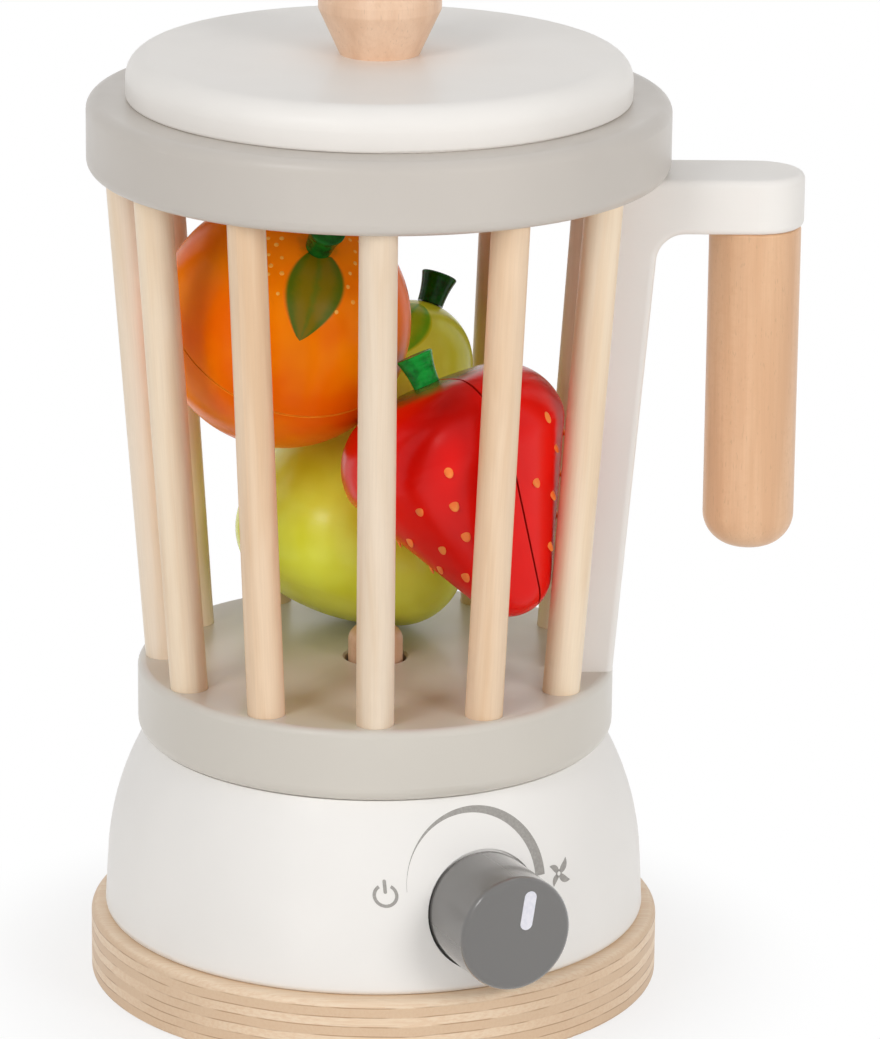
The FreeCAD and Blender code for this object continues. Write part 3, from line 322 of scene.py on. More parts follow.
# %% Painted finishes
COAT_ROUGHNESS = 0.14
DRIFT = 0.955
PAINTS = {
    # name: its pieces, colour, roughness, depth in mm of the grain that shows through, gloss
    "housing_white": (["motor_housing"], (248, 245, 241), 0.50, 0.010, 0.12),
    "lid_white": (["lid", "handle_bracket"], (246, 242, 237), 0.47, 0.010, 0.12),
    "ring_grey": (["top_ring"], (204, 197, 189), 0.36, 0.010, 0.12),
    "floor_grey": (["jug_floor"], (216, 210, 200), 0.34, 0.010, 0.12),
    "dial_grey": (["dial"], (107, 105, 103), 0.20, 0.006, 1.00),
}


def painted(name, colour, roughness, grain_depth, coat):
    """Satin paint: drifting tone, orange-peel and grain that shows through."""
    finish, tree, shader = new_finish(name, roughness, coat=coat, coat_roughness=COAT_ROUGHNESS)
    spot = in_millimetres(tree, turn=(0, math.pi / 2, 0))
    drift = noise(tree, spot, 0.022, 2.0)
    deeper = [value * DRIFT for value in chart(*colour)[:3]] + [1.0]
    tone = blended(tree, between(tree, drift, 0.3, 0.75), deeper, chart(*colour))
    peel = noise(tree, spot, 0.9, 2.0, 0.4)
    grain = noise(tree, stretched(tree, spot, (0.9, 0.9, 0.03)), 1.0, 4.0, 0.6)
    relief = arithmetic(tree, "MULTIPLY_ADD", grain, 2.0, peel)
    show(tree, shader, tone, relief, grain_depth)
    uneven = noise(tree, spot, 0.11, 3.0)
    gloss = between(tree, uneven, 0.25, 0.8, roughness - 0.03, roughness + 0.05)
    tree.links.new(gloss, shader.inputs["Roughness"])
    return finish


for name, (pieces, *recipe) in PAINTS.items():
    wear(pieces, painted(name, *recipe))
print("painted:", ", ".join(PAINTS))

# %% [markdown]
# ## Clear-lacquered wood
#
# Birch dowels are pale and nearly plain: fine straight fibres, a slow drift from cream to
# honey, and now and then a darker streak. Beech, on the grip, the knob and the peg, is pinker
# and has two marks of its own: short dark flecks a few tenths wide and one to three
# millimetres long, and a soft ripple across the grain. Both are the same recipe with other
# numbers: fibres are noise stretched along the grain. Each dowel gets a copy of its own,
# turned along its own lean and with a grain of its own, so that no two look alike. Its tone
# is partly the wood's own and partly painted light: the dowels at the sides, which fall into
# shade, get paler tones, and the warmer honey tone partly stands for the warm shade at the back.

# %% Wood finishes
def wooden(name, light, dark, place, turn, fleck=0.0, seed=0.0):
    """Lacquered wood with its grain along the local Z."""
    finish, tree, shader = new_finish(name, 0.45, coat=0.2, coat_roughness=0.2)
    spot = in_millimetres(tree, place, turn)
    spot = add(tree, "ShaderNodeVectorMath", {0: spot, 1: (seed, seed * 2, seed * 7)}).outputs[0]
    figure = noise(tree, stretched(tree, spot, (0.16, 0.16, 0.012)), 1.0, 3.0, 0.55, 0.4)
    fibre = noise(tree, stretched(tree, spot, (2.6, 2.6, 0.06)), 1.0, 3.0, 0.6)
    streak = noise(tree, stretched(tree, spot, (0.55, 0.55, 0.008)), 1.0, 2.0, 0.5)
    colour = two_tone(tree, figure, 0.35, 0.72, light, dark)
    share = between(tree, streak, 0.62, 0.8, 0.0, 0.45)
    colour = blended(tree, share, colour, chart(*dark))
    share = between(tree, fibre, 0.35, 0.75, 0.0, 0.09)
    darker = tuple(value * 0.78 for value in dark)
    colour = blended(tree, share, colour, chart(*darker))
    if fleck:
        marks = noise(tree, stretched(tree, spot, (2.2, 2.2, 0.42)), 1.0, 1.0, 0.4)
        share = between(tree, marks, 0.66, 0.73, 0.0, fleck)
        colour = blended(tree, share, colour, chart(*darker))
        ripple = noise(tree, stretched(tree, spot, (0.32, 0.32, 0.5)), 1.0, 3.0, 0.6, 0.8)
        colour = blended(tree, between(tree, ripple, 0.42, 0.68, 0.0, 0.3), colour, chart(*dark))
    show(tree, shader, colour, fibre, 0.008)
    return finish


PALE_BIRCH = ((238, 219, 196), (227, 202, 172))
HONEY_BIRCH = ((240, 212, 181), (228, 193, 156))
# Painted light: the two paler tones below lift the side dowels out of their shade.
LIGHT_BIRCH_FOR_SHADE = ((250, 230, 203), (240, 213, 180))
ROSY_BIRCH_FOR_SHADE = ((250, 233, 212), (241, 219, 190))
BIRCH_AND_PAINTED_LIGHT = {
    # numbers of the dowels, anticlockwise from the front: their wood and painted light; the
    # paler tones on 3, 4, 9 and 10 lift the shade that these side dowels fall into
    (1, 6): PALE_BIRCH,
    (2, 5, 7, 11): HONEY_BIRCH,
    (3, 10): LIGHT_BIRCH_FOR_SHADE,
    (4, 8, 9): ROSY_BIRCH_FOR_SHADE,
}
BEECH_FLECK = 0.22
BEECH = {
    # piece: light wood, dark wood, where in the log it was cut
    "grip": ((236, 193, 154), (224, 177, 137), 5.0),
    "lid_knob": ((244, 208, 178), (231, 190, 157), 11.0),
    "centre_peg": ((226, 186, 152), (208, 164, 128), 23.0),
}


def middle_of(points):
    """Average of some points."""
    return sum(points, Vector()) / len(points)


tone_and_light_of = {number: tones for numbers, tones in BIRCH_AND_PAINTED_LIGHT.items() for number in numbers}
for number, (light, dark) in sorted(tone_and_light_of.items()):
    name = f"dowel_{number:02d}"
    low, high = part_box(name)
    points = [vertex.co for vertex in nodes[name].data.vertices]
    foot = middle_of([point for point in points if point.z < low.z + MM])
    head = middle_of([point for point in points if point.z > high.z - MM])
    turn = (head - foot).to_track_quat("Z", "Y").to_euler()
    wear([name], wooden(f"{name}_birch", light, dark, foot, turn, seed=3.7 * number))
print(f"{len(tone_and_light_of)} dowels, each with its own grain")

# %% Beech pieces
for name, (light, dark, seed) in BEECH.items():
    low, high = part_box(name)
    middle = (low + high) / 2
    wear([name], wooden(f"{name}_beech", light, dark, middle, (0, 0, 0), BEECH_FLECK, seed))
hidden = wooden("inner_dowel_birch", *PALE_BIRCH, (0, 0, 0), (0, 0, 0))
wear(["dial_spindle", "bracket_dowels", "grip_dowel"], hidden)
print("beech:", ", ".join(BEECH))

# %% [markdown]
# ## Plywood
#
# The base is a disc of seven-ply birch. On the rim each ply shows as a band, with a thin
# broken line of glue between two plies. A ply whose grain meets the rim end on looks darker
# than one whose grain runs along it, and because the grain of neighbouring plies is crossed,
# the bands trade places a quarter of the way round. The faces show the outer ply's long grain.

# %% Plywood finish
PLY_COUNT = 7
PLY_LIGHT = (243, 220, 192)
PLY_MID = (235, 205, 173)
PLY_DARK = (216, 184, 151)
GLUE = (178, 138, 104)


def chosen(tree, share, first, second):
    """Mix two plain values."""
    return add(tree, "ShaderNodeMix", {0: share, 2: first, 3: second}, data_type="FLOAT").outputs[0]


def plywood(name, thickness):
    """Crossed plies that show as bands on the rim."""
    finish, tree, shader = new_finish(name, 0.5, coat=0.1, coat_roughness=0.3)
    spot = in_millimetres(tree)
    axes = add(tree, "ShaderNodeSeparateXYZ", {0: spot})
    wobble = noise(tree, stretched(tree, spot, (0.05, 0.05, 0.02)), 1.0, 2.0)
    height = arithmetic(tree, "MULTIPLY_ADD", wobble, 0.9, axes.outputs["Z"])
    ply = arithmetic(tree, "MULTIPLY", height, PLY_COUNT / thickness)
    wave = arithmetic(tree, "PINGPONG", ply, 1.0)
    odd = between(tree, wave, 0.42, 0.58)
    facing = add(tree, "ShaderNodeNewGeometry").outputs["Normal"]
    facing = add(tree, "ShaderNodeSeparateXYZ", {0: facing})
    across = arithmetic(tree, "ABSOLUTE", facing.outputs["X"])
    along = arithmetic(tree, "ABSOLUTE", facing.outputs["Y"])
    first_end = between(tree, across, 0.25, 0.9)
    second_end = between(tree, along, 0.25, 0.9)
    end_grain = chosen(tree, odd, second_end, first_end)
    long_fibre = noise(tree, stretched(tree, spot, (0.05, 1.6, 1.6)), 1.0, 3.0, 0.6)
    cross_fibre = noise(tree, stretched(tree, spot, (1.6, 0.05, 1.6)), 1.0, 3.0, 0.6)
    fibre = chosen(tree, odd, cross_fibre, long_fibre)
    colour = two_tone(tree, fibre, 0.35, 0.7, PLY_LIGHT, PLY_MID)
    share = arithmetic(tree, "MULTIPLY", end_grain, 0.7)
    colour = blended(tree, share, colour, chart(*PLY_DARK))
    from_joint = arithmetic(tree, "ABSOLUTE", arithmetic(tree, "SUBTRACT", wave, 0.5))
    line = between(tree, from_joint, 0.03, 0.09, 0.8, 0.0)
    broken = noise(tree, stretched(tree, spot, (0.09, 0.09, 0.5)), 1.0, 2.0)
    share = arithmetic(tree, "MULTIPLY", line, between(tree, broken, 0.38, 0.6))
    upright = arithmetic(tree, "ABSOLUTE", facing.outputs["Z"])
    share = arithmetic(tree, "MULTIPLY", share, between(tree, upright, 0.3, 0.8, 1.0, 0.0))
    colour = blended(tree, share, colour, chart(*GLUE))
    show(tree, shader, colour, fibre, 0.012)
    return finish


low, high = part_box("base_plate")
wear(["base_plate"], plywood("birch_plywood", (high.z - low.z) / MM))
print(f"{PLY_COUNT} plies in {(high.z - low.z) / MM:.1f} mm")

# %% [markdown]
# ## Zinc-plated steel
#
# The screws and the washer are small and mostly hidden. Plated steel is a metal with a grey
# tint and a slightly cloudy, brushed surface.

# %% Steel
steel, tree, shader = new_finish("zinc_plated_steel", 0.3)
shader.inputs["Metallic"].default_value = 1.0
cloud = noise(tree, in_millimetres(tree), 0.8, 3.0)
show(tree, shader, blended(tree, cloud, chart(176, 176, 172), chart(205, 204, 198)))
tree.links.new(between(tree, cloud, 0.2, 0.8, 0.30, 0.42), shader.inputs["Roughness"])
steel_pieces = ["base_screws", "bracket_screws", "dial_washer", "dial_screw", "lid_screw"]
wear(steel_pieces, steel)
print("steel:", ", ".join(steel_pieces))

# %% [markdown]
# ## The play fruit
#
# The pear, the strawberry and the orange are turned in wood, sawn in two and sprayed with
# gloss paint. Round each stalk the sprayer left a soft green collar that fades into the
# fruit's colour, and over the sides the tone drifts a little. Each recipe works in the
# fruit's own frame: the origin is its widest place, Z runs to the stalk and Y is square to
# an upright seam. The faces of the saw cut carry painted shade: a tone set so that the narrow
# gap reads as a line of the right depth. It is darker than the paint on the pear and the
# strawberry, and lighter on the orange, where the gap's own shade came out too deep.

# %% Fruit frames
FRUITS = {
    # fruit: widest place in mm, lean and heading of the axis, turn about it, in degrees
    "pear": ((-6.93, 20.51, 110.7), 29.2, 50.8, -52.3),
    "strawberry": ((19.78, -20.1, 148.9), 26.2, 155.6, 138.5),
    "orange": ((-24.3, 2.38, 176.4), 41.5, -65.1, 0.0),
}
fruit_frames = {}
for fruit, (place, lean, heading, spin) in FRUITS.items():
    turn = turned(heading, "Z") @ turned(lean, "Y") @ turned(spin, "Z")
    fruit_frames[fruit] = Matrix.Translation(Vector(place) * MM) @ turn
    axis = turn @ Vector((0, 0, 1))
    print(f"{fruit}: stalk points to {axis.x:.2f}, {axis.y:.2f}, {axis.z:.2f}")

# %% Fruit paints
COLLAR = (58, 112, 30)
FRUIT_PAINTS = {
    # fruit: its halves, gloss, light and dark tone, tone painted into the saw cut for its shade,
    # heights of the collar, axis square to the seam and the seam's place on it
    "pear": (
        ("front", "back"), 0.32,
        (236, 246, 84), (222, 228, 44), (190, 190, 30), (66.9, 68.2), "Y", 2.9,
    ),
    "strawberry": (
        ("front", "back"), 0.24,
        (240, 14, 3), (228, 9, 2), (214, 24, 10), (16.0, 18.4), "Y", 2.9,
    ),
    "orange": (
        ("lower", "upper"), 0.09,
        (254, 137, 1), (244, 108, 1), (255, 150, 36), (33.0, 34.0), "Z", 4.2,
    ),
}


def in_fruit_frame(tree, fruit):
    """A fruit's coordinates in millimetres, seen from its own frame."""
    where = fruit_frames[fruit]
    return in_millimetres(tree, where.to_translation(), where.to_euler())


def fruit_paint(fruit, gloss, light, dark, seam_shade, collar, seam_axis, seam):
    """Gloss paint, a green collar between two heights and painted shade in the saw cut."""
    finish, tree, shader = new_finish(f"{fruit}_paint", 0.24, specular=gloss)
    spot = in_fruit_frame(tree, fruit)
    axes = add(tree, "ShaderNodeSeparateXYZ", {0: spot})
    colour = two_tone(tree, noise(tree, spot, 0.05, 2.0), 0.3, 0.7, light, dark)
    ragged = noise(tree, spot, 0.3, 2.0)
    height = arithmetic(tree, "ADD", axes.outputs["Z"], ragged)
    share = between(tree, height, *collar, 0.0, 0.9)
    colour = blended(tree, share, colour, chart(*COLLAR))
    # Painted shade: the saw cut's faces, and a hair's width beside them, take the seam tone.
    from_seam = arithmetic(tree, "SUBTRACT", axes.outputs[seam_axis], seam)
    share = between(tree, arithmetic(tree, "ABSOLUTE", from_seam), 0.3, 0.42, 1.0, 0.0)
    colour = blended(tree, share, colour, chart(*seam_shade))
    show(tree, shader, colour, noise(tree, spot, 0.45, 2.0, 0.5), 0.03)
    return finish


for fruit, (halves, *recipe) in FRUIT_PAINTS.items():
    wear([f"{fruit}_{half}" for half in halves], fruit_paint(fruit, *recipe))
print("fruit painted:", ", ".join(FRUIT_PAINTS))

# %% Stalks and pads
STALK_LIGHT = {"pear": (4, 84, 8), "strawberry": (24, 172, 64), "orange": (20, 112, 30)}
for fruit, light in STALK_LIGHT.items():
    finish, tree, shader = new_finish(f"{fruit}_stalk_paint", 0.24, specular=0.22)
    spot = in_fruit_frame(tree, fruit)
    dark = tuple(value * 0.7 for value in light)
    colour = two_tone(tree, noise(tree, spot, 0.35, 3.0), 0.35, 0.7, light, dark)
    rings = noise(tree, stretched(tree, spot, (0.12, 0.12, 0.9)), 1.0, 2.0)
    show(tree, shader, colour, rings, 0.25)
    wear([f"{fruit}_stalk"], finish)

finish, tree, shader = new_finish("loop_pad_fabric", 0.9)
shader.inputs["Sheen Weight"].default_value = 0.4
loops = noise(tree, in_millimetres(tree), 3.2, 2.0, 0.7)
colour = blended(tree, loops, chart(214, 214, 208), chart(244, 244, 240))
show(tree, shader, colour, loops, 0.25)
wear(["fruit_pads"], finish)
print("stalks and pads finished")

# %% [markdown]
# ## Recipes that grow pieces
#
# What repeats, and what lies on a curved surface, is grown with Geometry Nodes. A recipe is a
# node group with named inputs. It is run on a small seed mesh, its result is kept as a plain
# mesh, and the modifier goes away with the seed. Three recipes do all the work: one lays a
# thin film of paint on a surface, one sets small drops of paint on it, and one sets screws.

# %% Running a recipe
SHARP_FROM = math.radians(40)
RAY_LENGTH = 0.2
SAME_PLACE = 1e-6
SURFACES = {"Surface": "Object", "Second Surface": "Object"}


def new_recipe(name, inputs):
    """A Geometry Nodes group with named inputs; returns the tree and its input node."""
    tree = bpy.data.node_groups.new(name, "GeometryNodeTree")
    for label, kind in {"Geometry": "Geometry", **inputs, "Material": "Material"}.items():
        tree.interface.new_socket(label, in_out="INPUT", socket_type=f"NodeSocket{kind}")
    tree.interface.new_socket("Geometry", in_out="OUTPUT", socket_type="NodeSocketGeometry")
    return tree, tree.nodes.new("NodeGroupInput")


def serve(tree, geometry):
    """End a recipe: realize its instances, set the material and hand the result out."""
    source = next(node for node in tree.nodes if node.bl_idname == "NodeGroupInput")
    real = add(tree, "GeometryNodeRealizeInstances", {0: geometry})
    inputs = {"Geometry": real.outputs[0], "Material": source.outputs["Material"]}
    finished = add(tree, "GeometryNodeSetMaterial", inputs)
    add(tree, "NodeGroupOutput", {0: finished.outputs[0]})


def grown(name, seed, recipe, **values):
    """Run a recipe on a seed mesh and keep the result as a plain mesh object."""
    holder = put(f"{name}_seed", seed)
    modifier = holder.modifiers.new("recipe", "NODES")
    modifier.node_group = recipe
    for item in recipe.interface.items_tree:
        label = item.name.replace(" ", "_").lower()
        if item.in_out == "INPUT" and label in values:
            modifier[item.identifier] = values[label]
    graph = bpy.context.evaluated_depsgraph_get()
    mesh = bpy.data.meshes.new_from_object(holder.evaluated_get(graph))
    bpy.data.objects.remove(holder)
    mesh.name = name
    mesh.shade_smooth()
    mesh.set_sharp_from_angle(angle=SHARP_FROM)
    return put(name, mesh)


def cast_onto(tree, source, direction):
    """A ray from each point of the seed mesh to the pieces that the surface inputs name."""
    joined = tree.nodes.new("GeometryNodeJoinGeometry")
    for label in SURFACES:
        info = add(tree, "GeometryNodeObjectInfo", {"Object": source.outputs[label]})
        tree.links.new(info.outputs["Geometry"], joined.inputs[0])
    inputs = {"Target Geometry": joined.outputs[0], "Ray Direction": direction}
    return add(tree, "GeometryNodeRaycast", {**inputs, "Ray Length": RAY_LENGTH})


print("recipes can be run")

# %% The film recipe
def sewn(tree, geometry):
    """Join points that lie on one another."""
    inputs = {"Geometry": geometry, "Distance": SAME_PLACE}
    return add(tree, "GeometryNodeMergeByDistance", inputs).outputs[0]


def scaled(tree, vector, factor):
    """A vector made longer or shorter."""
    inputs = {0: vector, "Scale": factor}
    return add(tree, "ShaderNodeVectorMath", inputs, operation="SCALE").outputs[0]


def film_recipe():
    """Drops each point of a flat patch onto a surface, and gives the patch a thickness."""
    inputs = {**SURFACES, "Direction": "Vector", "Lift": "Float", "Thickness": "Float"}
    tree, source = new_recipe("paint_film", inputs)
    cast = cast_onto(tree, source, source.outputs["Direction"])
    lift = scaled(tree, cast.outputs["Hit Normal"], source.outputs["Lift"])
    inputs = {0: cast.outputs["Hit Position"], 1: lift}
    landed = add(tree, "ShaderNodeVectorMath", inputs).outputs[0]
    inputs = {
        "Geometry": sewn(tree, source.outputs["Geometry"]),
        "Selection": cast.outputs["Is Hit"],
        "Position": landed,
    }
    laid = add(tree, "GeometryNodeSetPosition", inputs).outputs[0]
    inputs = {"Mesh": laid, "Offset Scale": source.outputs["Thickness"], "Individual": False}
    top = add(tree, "GeometryNodeExtrudeMesh", inputs)
    under = add(tree, "GeometryNodeFlipFaces", {"Mesh": laid})
    joined = tree.nodes.new("GeometryNodeJoinGeometry")
    tree.links.new(top.outputs["Mesh"], joined.inputs[0])
    tree.links.new(under.outputs[0], joined.inputs[0])
    serve(tree, sewn(tree, joined.outputs[0]))
    return tree


film = film_recipe()
print("film recipe:", len(film.nodes), "nodes")

# %% Patches to lay
def ribbon(rows, across=4):
    """Vertices and faces of a strip between two edges, from rows of (left, right) points."""
    points = []
    marks = []
    faces = []
    for place, (left, right) in enumerate(rows):
        for step in range(across + 1):
            share = step / across
            points.append(Vector(left).lerp(Vector(right), share))
            marks.append((2 * share - 1, place / (len(rows) - 1), 0))
    width = across + 1
    for row in range(len(rows) - 1):
        for step in range(across):
            first = row * width + step
            faces.append((first, first + 1, first + width + 1, first + width))
    return points, faces, marks


def note(mesh, label, vectors):
    """Store a vector for each point of a mesh, under a name."""
    store = mesh.attributes.new(label, "FLOAT_VECTOR", "POINT")
    for index, vector in enumerate(vectors):
        store.data[index].vector = vector


def patch(name, ribbons, where):
    """A seed mesh of flat ribbons drawn in millimetres, set at a place and turn."""
    points, faces, marks = [], [], []
    for more_points, more_faces, more_marks in ribbons:
        faces += [tuple(len(points) + index for index in face) for face in more_faces]
        points += [where @ (point * MM) for point in more_points]
        marks += more_marks
    mesh = new_mesh(name, points, faces)
    note(mesh, "on_patch", marks)
    return mesh


def bend(centre, radius, angle):
    """A point on a circle in a patch's plane, by angle in degrees."""
    turn = math.radians(angle)
    return (centre[0] + radius * math.cos(turn), centre[1] + radius * math.sin(turn), 0)


def arc_band(centre, inner, outer, start, end, steps):
    """Rows of a band between two circles about one centre."""
    angles = [start + (end - start) * step / steps for step in range(steps + 1)]
    return [(bend(centre, inner, angle), bend(centre, outer, angle)) for angle in angles]


def round_bar(start, end, radius, steps=8, tip=0.02):
    """Rows of a straight bar with round ends; the first and last row keep a narrow tip."""
    start, end = Vector((*start, 0)), Vector((*end, 0))
    along = (end - start).normalized()
    side = Vector((-along.y, along.x, 0))
    rows = []
    for centre, first in ((start, -90), (end, 0)):
        for step in range(steps + 1):
            turn = math.radians(first + 90 * step / steps)
            middle = centre + along * radius * math.sin(turn)
            reach = side * max(radius * math.cos(turn), tip)
            rows.append((middle + reach, middle - reach))
    return rows


print("patches are drawn as ribbons")

# %% [markdown]
# ## Marks round the dial
#
# Printed in grey on the housing are the signs that say what the dial does: a crescent that
# swells as the speed goes up, the usual sign for off at its thin end and a small four-bladed
# rotor at its thick end. They are drawn flat, in millimetres, on a plane square to the dial's
# axis, and then dropped onto the housing as a film a few hundredths thick. The dial's white
# index is laid on its face in the same way and turns with it.

# %% Marks on the housing
DIAL_AZIMUTH = math.radians(24.3)
DIAL_HEIGHT = 38.6 * MM
PLANE_DISTANCE = 95 * MM
inwards = Vector((-math.sin(DIAL_AZIMUTH), math.cos(DIAL_AZIMUTH), 0))
right = Vector((math.cos(DIAL_AZIMUTH), math.sin(DIAL_AZIMUTH), 0))
dial_plane = Matrix((right, (0, 0, 1), -inwards)).transposed().to_4x4()
dial_plane.translation = -inwards * PLANE_DISTANCE + Vector((0, 0, DIAL_HEIGHT))
MARKS_SHIFT = Vector((-1.5, 0, 0))
# centre and radius of the crescent's two circles, its sweep in degrees and its steps
CRESCENT_OUTSIDE = ((0.3, 6.7), 19.25)
CRESCENT_INSIDE = ((-1.15, 6.75), 17.72)
CRESCENT_SWEEP = 181
CRESCENT_STEPS = 60
POWER = (-24.1, 6.0)
ROTOR = (24.2, 5.4)
ROTOR_HUB = 0.85
ROTOR_BLADES = ((4.4, 38), (3.7, 126), (3.5, 222), (4.3, 312))  # reach and heading
BLADE_STEPS = 8


def crescent_rows():
    """The crescent: the gap between two circles, from its thin end round to its thick end."""
    rows = []
    for step in range(CRESCENT_STEPS + 1):
        angle = 180 - CRESCENT_SWEEP * step / CRESCENT_STEPS
        rows.append((bend(*CRESCENT_INSIDE, angle), bend(*CRESCENT_OUTSIDE, angle)))
    return rows


def rotor_ribbons():
    """Four hooked blades round a ring."""
    ribbons = [ribbon(arc_band(ROTOR, 0.55, 1.0, 0, 360, 24), 2)]
    for reach, angle in ROTOR_BLADES:
        rows = []
        for step in range(BLADE_STEPS + 1):
            share = step / BLADE_STEPS
            distance = ROTOR_HUB + (reach - ROTOR_HUB) * share
            half = 44 * (1 - share) + 1
            lean = angle + 22 * share**2 - 8
            edges = (lean + half, lean - half * 0.7)
            rows.append(tuple(bend(ROTOR, distance, edge) for edge in edges))
        ribbons.append(ribbon(rows, 3))
    return ribbons


ribbons = [
    ribbon(crescent_rows(), 4),
    ribbon(arc_band(POWER, 2.25, 3.05, 122, 418, 40), 2),
    ribbon(round_bar((POWER[0], POWER[1] + 0.9), (POWER[0], POWER[1] + 3.6), 0.42), 2),
    *rotor_ribbons(),
]
finish, tree, shader = new_finish("grey_print", 0.5)
patchy = noise(tree, in_millimetres(tree), 1.4, 3.0, 0.7)
show(tree, shader, two_tone(tree, patchy, 0.3, 0.75, (158, 154, 149), (176, 172, 167)))
marks_plane = dial_plane @ Matrix.Translation(MARKS_SHIFT * MM)
print_seed = patch("dial_marks_seed", ribbons, marks_plane)
dial_marks = grown(
    "dial_marks",
    print_seed,
    film,
    surface=nodes["motor_housing"],
    direction=inwards,
    lift=0.02 * MM,
    thickness=0.03 * MM,
    material=finish,
)
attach(dial_marks, "base")
print(f"dial marks: {len(dial_marks.data.polygons)} faces")

# %% The dial's index
finish, tree, shader = new_finish("index_paint", 0.38, coat=0.3, coat_roughness=0.2)
patchy = noise(tree, in_millimetres(tree), 0.9, 3.0)
colour = two_tone(tree, patchy, 0.3, 0.7, (236, 235, 243), (226, 226, 236))
show(tree, shader, colour, patchy, 0.02)
index_bar = ribbon(round_bar((2.4, 2.7), (3.5, 9.6), 1.65), 4)
index_seed = patch("index_seed", [index_bar], dial_plane)
dial_index = grown(
    "dial_index",
    index_seed,
    film,
    surface=nodes["dial"],
    direction=inwards,
    lift=0.01 * MM,
    thickness=0.12 * MM,
    material=finish,
)
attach(dial_index, "dial")
print(f"dial index: {len(dial_index.data.polygons)} faces")

# %% [markdown]
# ## Leaves painted on the orange and the pear
#
# A leaf hangs from the stalk on the side that faces the viewer. It is sprayed through a
# stencil: greener near its edge and along its midrib, thin and brownish between them where the
# fruit's colour shines through, and fading out at the very edge. The patch is drawn flat
# beside the fruit and laid on it by the film recipe. Each point carries its place on the
# leaf, across and along, and the paint is mixed from that.

# %% Leaves
LEAVES = {
    # fruit: height on the axis that the leaf faces in mm, its heading and lean in degrees,
    # length, half width and sweep of the tip in mm, and the colours of its edge, blade,
    # midrib and of the fruit beside it
    "orange": (
        (0, -16.5, 22.5), (24.7, 8.1, 3.2),
        ((84, 104, 8), (126, 108, 6), (88, 110, 16), (249, 124, 1)),
    ),
    "pear": (
        (45, -109.0, 50.0), (21.0, 7.0, 0.0),
        ((120, 190, 16), (168, 196, 16), (84, 170, 24), (226, 230, 42)),
    ),
}
BESIDE = 45  # mm from a fruit's axis, where leaves and drops start on their way to it
LEAF_STEPS = 24


def leaf_finish(name, edge, blade, rib, bare):
    """Sprayed leaf: edge and midrib greener than the blade, and a faded outline."""
    finish, tree, shader = new_finish(name, 0.24, specular=0.22)
    place = add(tree, "ShaderNodeAttribute", attribute_name="on_patch").outputs["Vector"]
    axes = add(tree, "ShaderNodeSeparateXYZ", {0: place})
    ragged = noise(tree, in_millimetres(tree), 0.5, 3.0)
    aside = arithmetic(tree, "ABSOLUTE", axes.outputs["X"])
    side = arithmetic(tree, "ADD", aside, arithmetic(tree, "MULTIPLY", ragged, 0.3))
    colour = two_tone(tree, side, 0.55, 0.98, blade, edge)
    colour = blended(tree, between(tree, side, 0.14, 0.36, 0.7, 0.0), colour, chart(*rib))
    colour = blended(tree, between(tree, aside, 0.84, 1.0), colour, chart(*bare))
    show(tree, shader, colour, ragged, 0.03)
    return finish


def leaf_rows(length, half_width, sweep):
    """A leaf from its stem to its point, with its middle at the origin."""
    rows = []
    for step in range(LEAF_STEPS + 1):
        share = step / LEAF_STEPS
        half = half_width * math.sin(math.pi * share**0.85) ** 0.8 + 0.05
        aside = sweep * share**2
        along = length * (share - 0.5)
        rows.append(((aside - half, along, 0), (aside + half, along, 0)))
    return rows


for fruit, ((height, heading, lean), shape, colours) in LEAVES.items():
    where = fruit_frames[fruit] @ Matrix.Translation((0, 0, height * MM))
    where = where @ turned(heading, "Z") @ turned(lean, "Y")
    where = where @ Matrix.Translation((0, 0, BESIDE * MM)) @ turned(-90, "Z")
    halves = FRUIT_PAINTS[fruit][0]
    first_half, second_half = (nodes[f"{fruit}_{half}"] for half in halves)
    leaf = grown(
        f"{fruit}_leaf",
        patch(f"{fruit}_leaf_seed", [ribbon(leaf_rows(*shape), 10)], where),
        film,
        surface=first_half,
        second_surface=second_half,
        direction=-(where.to_3x3() @ Vector((0, 0, 1))),
        lift=0.02 * MM,
        thickness=0.03 * MM,
        material=leaf_finish(f"{fruit}_leaf_paint", *colours),
    )
    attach(leaf, "fruit")
    reach = [round(value / MM, 1) for value in leaf.dimensions]
    print(f"{leaf.name}: {len(leaf.data.polygons)} faces, {reach} mm")

# %% [markdown]
# ## Drops of paint
#
# The seeds of the strawberry and the pale dots round the orange's stalk are drops of thick
# paint, dabbed on in columns or rings. The seed mesh of this recipe is a handful of loose
# points beside the fruit, each with a direction towards the fruit's axis. The recipe finds
# where that line meets the fruit, stands a flattened ball there square to the surface and
# turns its long side along the fruit.

# %% The drop recipe
def attribute(tree, name):
    """A named vector that the seed mesh carries at each point."""
    kind = "GeometryNodeInputNamedAttribute"
    return add(tree, kind, {"Name": name}, data_type="FLOAT_VECTOR").outputs[0]


def random_value(tree, inputs):
    """A random number for each point, from the one output that the node has in use."""
    node = add(tree, "FunctionNodeRandomValue", inputs)
    return next(socket for socket in node.outputs if socket.enabled)


